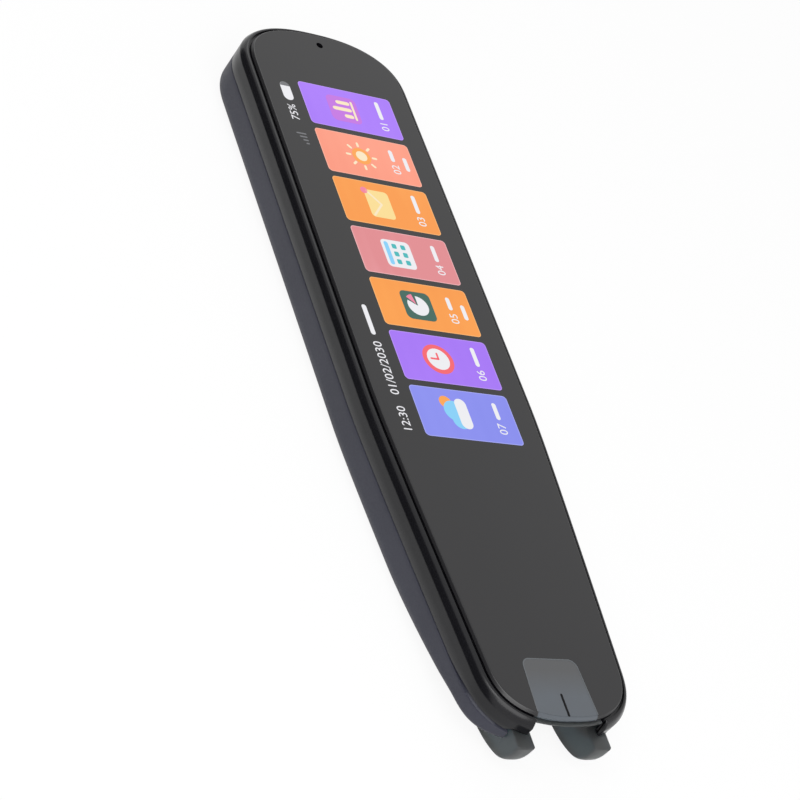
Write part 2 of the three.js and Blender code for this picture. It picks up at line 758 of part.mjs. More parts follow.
// Sub-board at the top end
const subMidY = (subBoardTopY + subBoardEndY) / 2;
addPiece('sub_board', slab(subBoardWidth, subBoardLength, cornerRadius, 0, subMidY, boardBottomZ,
  boardTop).subtract(boardHoles), 0x1f5136, 0.5);
const portShell = barAlongY(portWidth, portHeight, portHeight / 2 - slideGap, 0, portRearY, portMouthY, portZ)
  .subtract(barAlongY(portWidth - 2 * portWall, portHeight - 2 * portWall,
    portHeight / 2 - slideGap - portWall, 0, portRearY + portWall, portMouthY + overrun, portZ));
addPiece('port_shell', portShell, 0xb4b7ba, 0.25, 1);
const portTongue = block(-portTongueWidth / 2, portTongueWidth / 2, portRearY + portWall,
  portRearY + portWall + portTongueLength, portZ - portTongueThickness / 2, portZ + portTongueThickness / 2)
  .add(barAlongY(portTongueWidth, portHeight - 2 * portWall - 2 * slideGap, portTongueThickness / 2, 0,
    portRearY + portWall, portRearY + portWall + portBase, portZ));
addPiece('port_tongue', portTongue, 0x1a1a1c, 0.5);
const micTopZ = boardTop + micHeight;
addPiece('microphone', block(-micWidth / 2, micWidth / 2, micY - micWidth / 2,
  micY + micWidth / 2 - cornerRadius, boardTop, micTopZ), 0xc9b27a, 0.3, 0.9);
addPiece('microphone_boot', post(micBootWidth, 0, micY, micTopZ, ledgeBottomZ, roundSteps)
  .subtract(post(micPassageWidth, 0, micY, micTopZ - overrun, ledgeBottomZ + overrun)), 0x151516, 0.9);
const antennaX = antennaEdge - subBoardWidth / 2;
addPiece('antenna', block(antennaX, antennaX + antennaLength, topY - antennaInset - antennaWidth,
  topY - antennaInset, boardTop, boardTop + antennaHeight), 0xd9d6cc, 0.5);

// Speaker behind its mesh and grille
addPiece('speaker_mesh', slab(speakerWidth, speakerLength, cornerRadius, speakerX, speakerY, wall,
  wall + speakerMeshThickness), 0x111112, 0.9);
addPiece('speaker', slab(speakerWidth, speakerLength, cornerRadius, speakerX, speakerY,
  wall + speakerMeshThickness, wall + speakerMeshThickness + speakerHeight), 0x2a2b2e, 0.5, 0.3);

// Rear camera and its window
addPiece('rear_camera', block(rearCameraX - rearCameraSide / 2, rearCameraX + rearCameraSide / 2,
  rearCameraY - rearCameraSide / 2, rearCameraY + rearCameraSide / 2, wall, wall + rearCameraHeight),
  0x1d1e21, 0.4);
addPiece('rear_camera_window', post(rearWindowWidth, rearCameraX, rearCameraY, rearWindowDrop,
  windowTopZ, roundSteps), 0x0c0d10, 0.05);

// Scan nib: two skid feet joined by a tongue under the glass and a clear wall for the camera
function footShape() {
  const shape = new THREE.Shape();
  const bottomZ = footFrontZ - footCurveDepth;
  const rearY = tipY + skidRun;
  shape.moveTo(tipY, footFrontZ);
  shape.lineTo(tipY, footFrontZ - footFlat);
  shape.quadraticCurveTo(tipY, footFrontZ - footPull, tipY + footCurveRun, bottomZ);
  shape.quadraticCurveTo((tipY + footCurveRun + rearY) / 2, skidRise, rearY, skidRise);
  shape.lineTo(skidEndY, skidRise + skidTailRise);
  shape.lineTo(skidEndY, footFrontZ - armHeight);
  shape.lineTo(armEndY, footFrontZ - armHeight);
  shape.lineTo(armEndY, footFrontZ);
  shape.lineTo(tipY, footFrontZ);
  return shape;
}
const guardDrop = tongueThickness + tongueFillet + webDepth + overrun;
const outlineGuard = stack([
  { inset: tongueInset + guardDrop * tongueSlopeShare, height: flat(tongueTopZ - guardDrop) },
  { inset: tongueInset, height: flat(tongueTopZ) },
  { inset: tongueInset, height: flat(caseDepth + overrun) },
]);
const tongue = block(-tongueWidth / 2, tongueWidth / 2, tipY, tongueRearY, tongueBottomZ, tongueTopZ)
  .intersect(outlineGuard);
const websX = tongueWidth / 2;
const webs = [-1, 1].map((side) => {
  const x0 = side < 0 ? -websX : footInnerX;
  const x1 = side < 0 ? -footInnerX : websX;
  return block(x0, x1, tipY, scanWallRearY, footFrontZ - webDepth, tongueTopZ).intersect(outlineGuard);
});

// Hollow fillet between the tongue and the inner face of each foot
function tongueFilletShape(side) {
  const shape = new THREE.Shape();
  const wallX = side * footInnerX;
  const centreX = wallX - side * tongueFillet;
  const centreZ = tongueBottomZ - tongueFillet;
  shape.moveTo(wallX + side * tongueFillet / 2, centreZ);
  shape.lineTo(wallX, centreZ);
  shape.absarc(centreX, centreZ, tongueFillet, side > 0 ? 0 : Math.PI, Math.PI / 2, side < 0);
  shape.lineTo(centreX, tongueBottomZ + tongueThickness / 2);
  shape.lineTo(wallX + side * tongueFillet / 2, tongueBottomZ + tongueThickness / 2);
  return shape;
}
const fillets = [-1, 1].map((side) => {
  const geometry = new THREE.ExtrudeGeometry(tongueFilletShape(side), {
    depth: scanWallRearY - tipY, bevelEnabled: false, curveSegments: cornerSteps * 2,
  });
  geometry.rotateX(Math.PI / 2);
  geometry.translate(0, scanWallRearY, 0);
  return solid(geometry).intersect(outlineGuard);
});
const crossbarY0 = armEndY - crossbarThickness;
const scanNib = joined([
  profileAcross(footShape(), -footOuterX, -footInnerX, footRound),
  profileAcross(footShape(), footInnerX, footOuterX, footRound),
  tongue,
  ...webs,
  ...fillets,
  block(-footInnerX - clearance, footInnerX + clearance, scanWallFrontY, scanWallRearY,
    tongueTopZ - tongueThickness / 2 - scanWallHeight, tongueTopZ - tongueThickness / 2),
  block(-footInnerX - clearance, footInnerX + clearance, crossbarY0, armEndY,
    footFrontZ - armHeight, footFrontZ - armHeight + crossbarHeight),
]);
addPiece('scan_nib', scanNib, 0x7d8a8c, 0.35);

// Guide that hangs from the ledge: a slotted plate in front and a stop wall behind
const guideRearY = crossbarY0 - slideGap;
const guideFrontY = guideRearY - guidePlate;
const guideHalfWidth = footOuterX + guideBorder;
const guideBottomZ = ledgeBottomZ - guideDepth;
const flexSlotZ = boardTop - slideGap;
const armSlots = [-1, 1].map((side) => block(Math.min(side * slotInnerX, side * slotOuterX),
  Math.max(side * slotInnerX, side * slotOuterX), guideFrontY - overrun / 2, guideRearY + overrun / 2,
  guideBottomZ - overrun, footFrontZ + clearance));
const cameraFlexSlot = block(-cameraFlexWidth / 2 - clearance, cameraFlexWidth / 2 + clearance,
  guideFrontY - overrun / 2, stopRearY + overrun / 2, flexSlotZ, flexSlotZ + clearance * 2);
const guide = block(-guideHalfWidth, guideHalfWidth, guideFrontY, guideRearY, guideBottomZ, ledgeBottomZ)
  .subtract(joined(armSlots))
  .add(block(-guideHalfWidth, guideHalfWidth, stopFrontY, stopRearY, guideBottomZ + clearance, ledgeBottomZ))
  .add(block(-guideHalfWidth, guideHalfWidth, guideFrontY, stopRearY, ledgeBottomZ - guideBridge,
    ledgeBottomZ))
  .subtract(cameraFlexSlot);
addPiece('nib_guide', guide, 0x2b2c30, 0.5);

// Springs that push the nib out
const springZ = footFrontZ - armHeight / 2;
[['left_nib_spring', -1], ['right_nib_spring', 1]].forEach(([name, side]) => {
  const x = side * footSpacing / 2;
  const spring = rod(springWidth, x, armEndY, stopFrontY, springZ, smallRoundSteps)
    .subtract(rod(springBore, x, armEndY - overrun, stopFrontY + overrun, springZ, smallRoundSteps));
  addPiece(name, spring, 0xb7babd, 0.3, 1);
});

// Switch that feels the nib being pressed
const nibSwitchZ = footFrontZ - armHeight + crossbarHeight / 2;
const nibSwitchFrontY = stopFrontY - nibSwitchLength;
const nibSwitch = block(-nibSwitchWidth / 2, nibSwitchWidth / 2, nibSwitchFrontY, stopFrontY,
  nibSwitchZ - nibSwitchHeight / 2, nibSwitchZ + nibSwitchHeight / 2)
  .subtract(rod(plungerWidth + 2 * clearance, 0, nibSwitchFrontY - overrun,
    nibSwitchFrontY + plungerSeat + nibTravel + clearance, nibSwitchZ, smallRoundSteps));
addPiece('nib_switch', nibSwitch, 0x1b1c1e, 0.5);
addPiece('nib_switch_plunger', rod(plungerWidth, 0, armEndY, nibSwitchFrontY + plungerSeat, nibSwitchZ,
  smallRoundSteps), 0xd8d4c6, 0.4);

// Scan camera, its bracket, light board and flex
const cameraRearY = guideFrontY;
const cameraFrontY = cameraRearY - cameraLength;
const cameraTopZ = ledgeBottomZ - bracketHeight;
const cameraBottomZ = cameraTopZ - cameraHeight;
const cameraMidZ = (cameraTopZ + cameraBottomZ) / 2;
addPiece('camera_bracket', block(-cameraWidth / 2, cameraWidth / 2, cameraFrontY, cameraRearY,
  cameraTopZ, ledgeBottomZ), 0xa6a9ad, 0.35, 0.9);
addPiece('scan_camera', block(-cameraWidth / 2, cameraWidth / 2, cameraFrontY, cameraRearY,
  cameraBottomZ, cameraTopZ), 0x1c1d20, 0.4);
const lightFrontY = cameraFrontY - lightBoardThickness;
addPiece('light_board', block(-lightBoardWidth / 2, lightBoardWidth / 2, lightFrontY, cameraFrontY,
  cameraBottomZ, cameraTopZ).subtract(rod(barrelWidth + 2 * slideGap, 0, lightFrontY - overrun,
  cameraFrontY + overrun, cameraMidZ)), 0xe7e9ea, 0.5);
const barrelFrontY = cameraFrontY - barrelLength;
addPiece('lens_barrel', rod(barrelWidth, 0, barrelFrontY, cameraFrontY, cameraMidZ)
  .subtract(rod(lensWidth, 0, barrelFrontY - overrun, barrelFrontY + lensLength, cameraMidZ)),
  0x121214, 0.4);
addPiece('scan_lens', rod(lensWidth - 2 * slideGap, 0, barrelFrontY + slideGap, barrelFrontY + lensLength,
  cameraMidZ), 0x2a3550, 0.05);
[['left_scan_led', -1], ['right_scan_led', 1]].forEach(([name, side]) => {
  const x = side * ledSpacing / 2;
  addPiece(name, block(x - ledWidth / 2, x + ledWidth / 2, lightFrontY - ledThickness, lightFrontY,
    cameraMidZ - ledHeight / 2, cameraMidZ + ledHeight / 2), 0xf4efcf, 0.4);
});
addPiece('camera_flex', block(-cameraFlexWidth / 2, cameraFlexWidth / 2, cameraRearY,
  mainBoardEndY + cameraFlexOverlap, boardTop, boardTop + flexThickness), 0xb8702a, 0.4);

// Power button with its flange, and the side switch behind it
const flangeX1 = innerHalfWidth - slideGap;
const flangeX0 = flangeX1 - buttonFlange;
const button = barAlongX(buttonLength, buttonHeight, buttonHeight / 2 - slideGap, flangeX0,
  halfWidth + buttonProud, buttonY, buttonZ)
  .add(block(flangeX0, flangeX1, buttonY - buttonLength / 2 - 2 * buttonFlangeBorder,
    buttonY + buttonLength / 2 + 2 * buttonFlangeBorder, buttonZ - buttonHeight / 2,
    buttonZ + buttonHeight / 2));
addPiece('power_button', button, 0x2a2b2f, 0.4);
const sideSwitchX1 = ribX1 + sideSwitchThickness;
const plungerBar = (width, x0, x1) => barAlongX(width, width, width / 2 - slideGap, x0, x1, buttonY, buttonZ);
addPiece('side_switch', block(ribX1, sideSwitchX1, buttonY - sideSwitchLength / 2,
  buttonY + sideSwitchLength / 2, buttonZ - sideSwitchHeight / 2, buttonZ + sideSwitchHeight / 2)
  .subtract(plungerBar(sidePlungerWidth + 2 * clearance, sideSwitchX1 - sidePlungerSeat - buttonTravel
    - slideGap, sideSwitchX1 + overrun)), 0x1b1c1e, 0.5);
addPiece('side_switch_plunger', plungerBar(sidePlungerWidth, sideSwitchX1 - sidePlungerSeat, flangeX0),
  0xd8d4c6, 0.4);

export default part;
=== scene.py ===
import json
import math

import bmesh
import bpy
import numpy as np
from mathutils import Matrix, Vector


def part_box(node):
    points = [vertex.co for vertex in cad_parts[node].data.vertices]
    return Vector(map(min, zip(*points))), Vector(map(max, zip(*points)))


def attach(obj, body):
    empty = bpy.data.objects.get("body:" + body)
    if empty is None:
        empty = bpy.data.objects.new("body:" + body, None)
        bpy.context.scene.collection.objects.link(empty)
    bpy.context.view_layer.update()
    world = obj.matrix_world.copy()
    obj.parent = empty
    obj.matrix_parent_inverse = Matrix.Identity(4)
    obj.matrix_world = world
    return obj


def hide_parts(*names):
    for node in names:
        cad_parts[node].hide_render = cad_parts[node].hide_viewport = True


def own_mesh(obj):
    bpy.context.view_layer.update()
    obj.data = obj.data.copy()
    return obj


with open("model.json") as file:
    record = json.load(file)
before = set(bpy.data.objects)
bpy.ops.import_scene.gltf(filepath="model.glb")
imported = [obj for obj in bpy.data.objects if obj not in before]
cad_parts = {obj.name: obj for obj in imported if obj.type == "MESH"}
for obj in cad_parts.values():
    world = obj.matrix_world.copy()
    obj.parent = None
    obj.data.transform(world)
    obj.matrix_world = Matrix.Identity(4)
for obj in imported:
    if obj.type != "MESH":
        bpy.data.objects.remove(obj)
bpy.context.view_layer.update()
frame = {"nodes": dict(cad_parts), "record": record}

# A flat pen-shaped scanning translator with a lit touch screen under a black glass front,
# a satin frame, a matte back and a smoky clear nib on two feet.
# Sizes here are millimetres in the frame's axes: X across, Y towards the top end, Z out of the glass.
# Meshes are written in metres.
MM = 0.001


def corners(node):
    """Lowest and highest corner of a CAD node in millimetres."""
    low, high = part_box(node)
    return np.array(low) / MM, np.array(high) / MM


COVER_HIGH = corners("rear_cover")[1]
FRAME_LOW, FRAME_HIGH = corners("front_frame")
GLASS_LOW, GLASS_HIGH = corners("cover_glass")
NIB_LOW, NIB_HIGH = corners("scan_nib")
KEY_LOW, KEY_HIGH = corners("power_button")
PORT_LOW, PORT_HIGH = corners("port_shell")
TONGUE_LOW, TONGUE_HIGH = corners("port_tongue")
SPEAKER_LOW, SPEAKER_HIGH = corners("speaker_mesh")
LEFT_SPRING_LOW, LEFT_SPRING_HIGH = corners("left_nib_spring")
RIGHT_SPRING_LOW, RIGHT_SPRING_HIGH = corners("right_nib_spring")
WINDOW_LOW, WINDOW_HIGH = corners("rear_camera_window")

# Casing
TOP_Y = COVER_HIGH[1]
TIP_Y = NIB_LOW[1]
NIB_REACH = 1.4
END_Y = TIP_Y + NIB_REACH
HALF_WIDTH = FRAME_HIGH[0]
TOP_DEPTH = 13.0
TOP_POWER = 2.42
END_DEPTH = 11.0
END_POWER = 2.5
TAPER_RUN = 64.4
TAPER_EASE = 12.0
TAPER_SHARE = 0.075
WALL = 1.3
PARTING_GAP = 0.15
LAP_INSET = 0.65
LAP_DEPTH = 0.5
LAP_FADE = (24.0, 30.0)
LAP_SLACK = 0.1
LAP_PLAY = 0.11
RISER = 0.01
PARTING_Z = FRAME_LOW[2] - PARTING_GAP
PARTING_RISE = COVER_HIGH[2] - PARTING_Z
RISE_START = 16.0
RISE_RUN = 8.5
BACK_FILLET = 3.0
SWEEP_RUN = 36.0
SWEEP_POWER = 1.5
SWEEP_FILL = 1.15
SWEEP_FILL_SHARE = 0.36
EDGE_ROUND = 0.12

# Frame above the parting line
LIP_Z = FRAME_HIGH[2] - 0.2
BEVEL_START_Z = LIP_Z - 1.42
BEVEL_PULL = 0.5
BEVEL_INSET = 1.05
POCKET_INSET = 1.22
LEDGE_INSET = 3.3
LEDGE_TOP_Z = GLASS_LOW[2] - 0.2
LEDGE_BOTTOM_Z = LEDGE_TOP_Z - 1.0
NIB_GAP = 6.9
GAP_ROUND = 0.4
END_ROUND = 0.3
END_STEPS = 6
END_LEAD = 3.0
FOOT_LIFT = 0.85
FOOT_LIFT_RUN = 1.2

# Cover glass
GLASS_INSET = 1.58
GLASS_BOTTOM_Z = GLASS_LOW[2]
DISPLAY_LAYER = 0.015
GLASS_TOP_Z = GLASS_HIGH[2] - 4 * DISPLAY_LAYER
EDGE_WIDTH = 0.45
EDGE_DROP = 0.5
MIC_HOLE = 1.4
MIC_INSET = 4.6
GLASS_IOR = 1.52

# Facets, and the angle in degrees past which an edge stays sharp
CAP_STEPS = 56
SIDE_STEPS = 60
ROUND_STEPS = 8
SHARP_ANGLE = 32.0


def linear(colour):
    """An sRGB hex colour as linear red, green, blue and an alpha of 1."""
    parts = [int(colour[i:i + 2], 16) / 255 for i in (1, 3, 5)]
    return [p / 12.92 if p <= 0.04045 else ((p + 0.055) / 1.055) ** 2.4 for p in parts] + [1.0]


def ease(value, start, end):
    """0 before start, 1 after end, and the smooth cubic 3s^2 - 2s^3 between them."""
    share = np.clip((value - start) / (end - start), 0, 1)
    return share * share * (3 - 2 * share)


def taper(y):
    """How far each side has drawn in at y: a share of run squared over run plus an ease length."""
    run = np.maximum(0, END_Y + TAPER_RUN - y)
    return TAPER_SHARE * run * run / (run + TAPER_EASE)


def half_outline(fine=1):
    """Right half of the casing's outline, from the top centre round to the nib centre.

    Each end is a quarter superellipse, x = width sin^(2/p) and y = depth cos^(2/p); the side
    between them follows the taper."""
    turn = np.linspace(0, math.pi / 2, CAP_STEPS * fine)
    across, along = np.sin(turn), np.cos(turn)
    top = np.column_stack([
        HALF_WIDTH * across ** (2 / TOP_POWER),
        TOP_Y - TOP_DEPTH * (1 - along ** (2 / TOP_POWER))])
    side_y = np.linspace(TOP_Y - TOP_DEPTH, END_Y + END_DEPTH, SIDE_STEPS * fine)[1:-1]
    side = np.column_stack([HALF_WIDTH - taper(side_y), side_y])
    end_y = END_Y + END_DEPTH * (1 - along[::-1] ** (2 / END_POWER))
    end = np.column_stack([(HALF_WIDTH - taper(end_y)) * across[::-1] ** (2 / END_POWER), end_y])
    return np.vstack([top, side, end])


def half_ring(inset, fine=1):
    """The half outline moved in along its normals, with its ends kept on the centre line."""
    half = half_outline(fine)
    ahead = np.gradient(half, axis=0)
    ahead[0] = (1, 0)
    ahead[-1] = (-1, 0)
    ahead /= np.linalg.norm(ahead, axis=1, keepdims=True)
    return half + inset * np.column_stack([ahead[:, 1], -ahead[:, 0]])


def casing_ring(inset, fine=1):
    """The whole outline moved in: the right half down to the nib centre, then the left half back up."""
    right = half_ring(inset, fine)
    left = right[-2:0:-1] * (-1, 1)
    return np.vstack([right, left])


def parting(y):
    """Height of the parting line, which steps up smoothly near the nib."""
    return PARTING_Z + PARTING_RISE * ease(END_Y + RISE_START - y, 0, RISE_RUN)


def above_parting(offset):
    """Height function that keeps a distance from the parting line."""
    return lambda y: parting(y) + offset


def lap(depth):
    """Height function of the step inside the parting line, which fades out before the nib."""
    return lambda y: parting(y) - depth * ease(y - END_Y, *LAP_FADE)


def level(z):
    """Height function of a flat level."""
    return lambda y: np.full_like(y, z)


def swept(z, inset=0.0):
    """Height function of the back at level z: flat, then curving up to the parting line at the nib.

    With s the share of the sweep still to go, the drop below the parting line is
    (1 - s^p)^(1/p) of the full one, and close to the nib u(1 - u)^2 more, which fills the end out."""
    def height(y):
        share = np.clip(1 - np.maximum(0, y - END_Y - inset) / SWEEP_RUN, 0, 1)
        near = np.minimum((1 - share) / SWEEP_FILL_SHARE, 1)
        drop = (1 - share ** SWEEP_POWER) ** (1 / SWEEP_POWER) + SWEEP_FILL * near * (1 - near) ** 2
        return parting(y) - (parting(y) - z) * drop
    return height


def loft(rings, ends="fan"):
    """Quads between neighbouring rings of points, rings being an array of ring, point, xyz.

    Ends "fan" closes the first and last ring with one face each, "ladder" joins the points that
    mirror each other across a ring, and "loop" joins the last ring to the first."""
    rows, count = rings.shape[:2]
    grid = np.arange(rows * count).reshape(rows, count)
    path = np.vstack([grid, grid[:1]]) if ends == "loop" else grid
    low, high = path[:-1], path[1:]
    quads = np.stack([low, np.roll(low, -1, 1), np.roll(high, -1, 1), high], -1).reshape(-1, 4)
    faces = quads.tolist()
    if ends == "fan":
        faces += [grid[0].tolist(), grid[-1].tolist()]
    if ends == "ladder":
        middle = count // 2
        i = np.arange(1, middle - 1)
        rungs = np.stack([i, i + 1, count - i - 1, count - i], -1)
        tips = [[0, 1, count - 1], [middle - 1, middle, middle + 1]]
        for ring in (grid[0], grid[-1]):
            faces += ring[rungs].tolist()
            faces += [ring[tip].tolist() for tip in tips]
    return rings.reshape(-1, 3), faces


def casing_stack(levels):
    """Closed skin through rings of the casing outline, one for each pair of inset and height."""
    rings = []
    for inset, height in levels:
        ring = casing_ring(inset)
        rings.append(np.column_stack([ring, height(ring[:, 1])]))
    return loft(np.array(rings), "ladder")


def quarter(steps):
    """Cosine and sine through a quarter turn, as two columns."""
    turn = np.linspace(0, math.pi / 2, steps)
    return np.column_stack([np.cos(turn), np.sin(turn)])


def rounding(across, down, steps):
    """Inset a(1 - sin) and drop d(1 - cos) round a quarter ellipse, from (a, 0) to (0, d)."""
    return (1 - quarter(steps)[:, ::-1]) * (across, down)


def rounded_loop(width, height, radius, steps=ROUND_STEPS):
    """Rounded rectangle about zero: four quarter circles joined by straight sides."""
    arc = radius * quarter(steps)
    a, b = width / 2 - radius, height / 2 - radius
    return np.vstack([arc + (a, b), arc[::-1] * (-1, 1) + (-a, b),
                      -arc + (-a, -b), arc[::-1] * (1, -1) + (a, -b)])


def obround(length, height, steps=ROUND_STEPS, slack=0.01):
    """Bar with half-circle ends, but for a slack that keeps their two halves apart."""
    return rounded_loop(length, height, height / 2 - slack, steps)


def disc(radius, steps=32):
    """Circle about zero."""
    turn = np.arange(steps) / steps * 2 * math.pi
    return radius * np.column_stack([np.cos(turn), np.sin(turn)])


def skin(sections, axis, ends="fan"):
    """Loft through flat outlines: pairs of an outline and its place along axis 0 X, 1 Y or 2 Z."""
    return loft(np.array([np.insert(outline, axis, place, 1) for outline, place in sections]), ends)


def prism(outline, axis, start, end):
    """Closed prism: one outline at two places along an axis."""
    return skin([(outline, start), (outline, end)], axis)


def new_mesh(name, shapes):
    """Mesh in metres from shapes of points and faces: doubles merged and normals turned outwards."""
    points, faces = [], []
    for shape_points, shape_faces in shapes:
        start = sum(len(p) for p in points)
        points.append(np.asarray(shape_points, float))
        faces += [[start + i for i in face] for face in shape_faces]
    mesh = bpy.data.meshes.new(name)
    mesh.from_pydata((np.vstack(points) * MM).tolist(), [], faces)
    work = bmesh.new()
    work.from_mesh(mesh)
    bmesh.ops.remove_doubles(work, verts=work.verts, dist=1e-8)
    bmesh.ops.dissolve_degenerate(work, edges=work.edges, dist=1e-8)
    bmesh.ops.recalc_face_normals(work, faces=work.faces)
    work.to_mesh(mesh)
    work.free()
    return mesh


def in_scene(name, data):
    """New object at the origin, linked to the scene."""
    made = bpy.data.objects.new(name, data)
    bpy.context.scene.collection.objects.link(made)
    return made


def soften(mesh, sharp):
    """Smooth shading but for edges sharper than the given angle in degrees."""
    mesh.shade_smooth()
    mesh.set_sharp_from_angle(angle=math.radians(sharp))


def new_object(name, mesh):
    """Piece at the origin, smooth but for its sharp edges."""
    soften(mesh, SHARP_ANGLE)
    return in_scene(name, mesh)


def settle(piece, sharp=SHARP_ANGLE):
    """Writes a piece's modifiers into its mesh."""
    graph = bpy.context.evaluated_depsgraph_get()
    mesh = bpy.data.meshes.new_from_object(piece.evaluated_get(graph))
    piece.modifiers.clear()
    piece.data = mesh
    soften(mesh, sharp)


def cut(piece, shapes, operation="DIFFERENCE"):
    """Takes the shapes out of the piece, or keeps only what lies in them."""
    tool = new_object("cutting_tool", new_mesh("cutting_tool", shapes))
    step = piece.modifiers.new("cut", "BOOLEAN")
    step.operation = operation
    step.solver = "EXACT"
    step.object = tool
    settle(piece)
    bpy.data.objects.remove(tool)


def keep(piece, body, material, slot, *nodes):
    """Gives a finished piece its material, its body and the CAD nodes that it stands for; the slot is not
    used.
    """
    piece.data.materials.clear()
    piece.data.materials.append(material)
    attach(piece, body)
    if nodes:
        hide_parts(*nodes)
    return piece


def add_piece(name, shapes, *terms):
    """Makes a piece from its shapes and keeps it on the given body, material and nodes."""
    return keep(new_object(name, new_mesh(name, shapes)), *terms)


def add(owner, kind, inputs=None, **settings):
    """Adds a shader node to a material or world; each input is a value or another node's socket."""
    made = owner.node_tree.nodes.new("ShaderNode" + kind)
    for name, value in settings.items():
        setattr(made, name, value)
    for name, value in (inputs or {}).items():
        if isinstance(value, bpy.types.NodeSocket):
            owner.node_tree.links.new(value, made.inputs[name])
        else:
            made.inputs[name].default_value = value
    return made


def emptied(owner):
    """A material or world that uses nodes and has none yet."""
    owner.use_nodes = True
    owner.node_tree.nodes.clear()
    return owner


def new_material(name):
    """Material with no nodes yet."""
    return emptied(bpy.data.materials.new(name))


def grain_of(material, size, detail=2.0, stretch=(1, 1, 1)):
    """Noise whose lumps are about the given size in millimetres, stretched along the axes."""
    place = add(material, "TexCoord").outputs["Object"]
    drawn = add(material, "Mapping", {"Vector": place, "Scale": stretch}).outputs["Vector"]
    return add(material, "TexNoise", {
        "Vector": drawn, "Scale": 1 / (size * MM), "Detail": detail}).outputs["Fac"]


def band_scale(spacing):
    """Scale of a wave texture, sin(20 x), whose bands are this many millimetres apart."""
    return 2 * math.pi / (20 * spacing * MM)


# Where a factor starts and ends its change of colour and of roughness
TONE_SPAN = (0.35, 0.65)
ROUGH_SPAN = (0.3, 0.7)


def coat(material, colour, rough, relief=None, more=None, span=TONE_SPAN, into="Base Color", volume=None):
    """Ends a material in its shader and output.

    The colour is one hex value, or a factor with its dark and light ones over a span. The roughness
    is a number, a socket, or a factor with its smooth and rough ends. The relief is a factor with
    its depth in millimetres. More holds the shader's other inputs, and into names the one that takes
    the colour."""
    inputs = {"Roughness": rough, **(more or {})}
    if isinstance(colour, str):
        inputs[into] = linear(colour)
    else:
        ramp = add(material, "ValToRGB", {"Fac": colour[0]})
        for element, position, shade in zip(ramp.color_ramp.elements, span, colour[1:]):
            element.position = position
            element.color = linear(shade)
        inputs[into] = ramp.outputs["Color"]
    if isinstance(rough, tuple):
        inputs["Roughness"] = add(material, "MapRange", {
            "Value": rough[0], "From Min": ROUGH_SPAN[0], "From Max": ROUGH_SPAN[1],
            "To Min": rough[1], "To Max": rough[2]}).outputs["Result"]
    if relief:
        inputs["Normal"] = add(material, "Bump", {
            "Height": relief[0], "Distance": relief[1] * MM}).outputs["Normal"]
    ends = {"Surface": add(material, "BsdfPrincipled", inputs).outputs["BSDF"]}
    if volume:
        ends["Volume"] = volume
    add(material, "OutputMaterial", ends)
    return material


def moulded(name, dark, light, grain, depth, smooth, rough, specular=0.5):
    """Moulded, cast or fired surface: the grain of its tool or its own, which scatters the highlight."""
    material = new_material(name)
    broad = grain_of(material, grain * 40, 3)
    fine = grain_of(material, grain, 2)
    return coat(material, (broad, dark, light), (fine, smooth, rough), (fine, depth),
                {"Specular IOR Level": specular})


def metal(name, dark, light, streak, stretch, smooth, rough):
    """Rolled, stamped or plated metal: fine streaks along the rolling direction."""
    material = new_material(name)
    lines = grain_of(material, streak, 3, stretch)
    return coat(material, (lines, dark, light), (lines, smooth, rough), (lines, 0.003), {"Metallic": 1.0})


def black_glass():
    """Chemically hardened cover glass, polished, with black print behind it: deep, even, mirror-like.

    Its bevel, where the surface turns down, is ground a little duller."""
    material = new_material("hardened_cover_glass")
    haze = grain_of(material, 18, 4, (1, 0.4, 1))
    normal = add(material, "NewGeometry").outputs["Normal"]
    up = add(material, "SeparateXYZ", {"Vector": normal}).outputs["Z"]
    rough = add(material, "MapRange", {
        "Value": up, "From Min": 0.96, "From Max": 0.995, "To Min": 0.3, "To Max": 0.04}).outputs["Result"]
    return coat(material, (haze, "#07060a", "#0a090d"), rough, more={"IOR": GLASS_IOR})


def smoky_nib():
    """Smoky polycarbonate, frosted by its tool: light goes through thin edges, the core stays dark."""
    material = new_material("smoky_polycarbonate")
    frost = grain_of(material, 0.3, 2)
    smoke = add(material, "VolumeAbsorption", {"Color": linear("#8ca6ad"), "Density": 1450.0})
    return coat(material, (grain_of(material, 6, 2), "#eef4f6", "#f3f8fa"), (frost, 0.3, 0.38),
                (frost, 0.002), {"IOR": 1.45, "Transmission Weight": 0.96},
                volume=smoke.outputs["Volume"])


def screen_light(name, *colours):
    """Lit display pixels behind the glass: the glow of the picture under the glass's own gloss.

    Two colours drift into each other, broken up by the panel's raster, which is drawn 3.1 mm apart,
    far coarser than it is, so that it shows. One colour is plain, as a lit sign is. The colours are
    what the panel gives before the glass adds its gloss."""
    material = new_material(name)
    colour = colours[0]
    if len(colours) > 1:
        place = add(material, "TexCoord").outputs["Object"]
        raster = add(material, "TexWave", {
            "Vector": place, "Scale": band_scale(3.14), "Distortion": 0.0}).outputs["Fac"]
        drift = add(material, "Math", {0: grain_of(material, 22, 1), 1: 0.94}, operation="MULTIPLY")
        mixed = add(material, "Math", {0: raster, 1: 0.06, 2: drift.outputs[0]}, operation="MULTIPLY_ADD")
        colour = (mixed.outputs[0], *colours)
    return coat(material, colour, 0.05, into="Emission Color", more={
        "Base Color": linear("#060606"), "IOR": GLASS_IOR, "Emission Strength": 1.0})


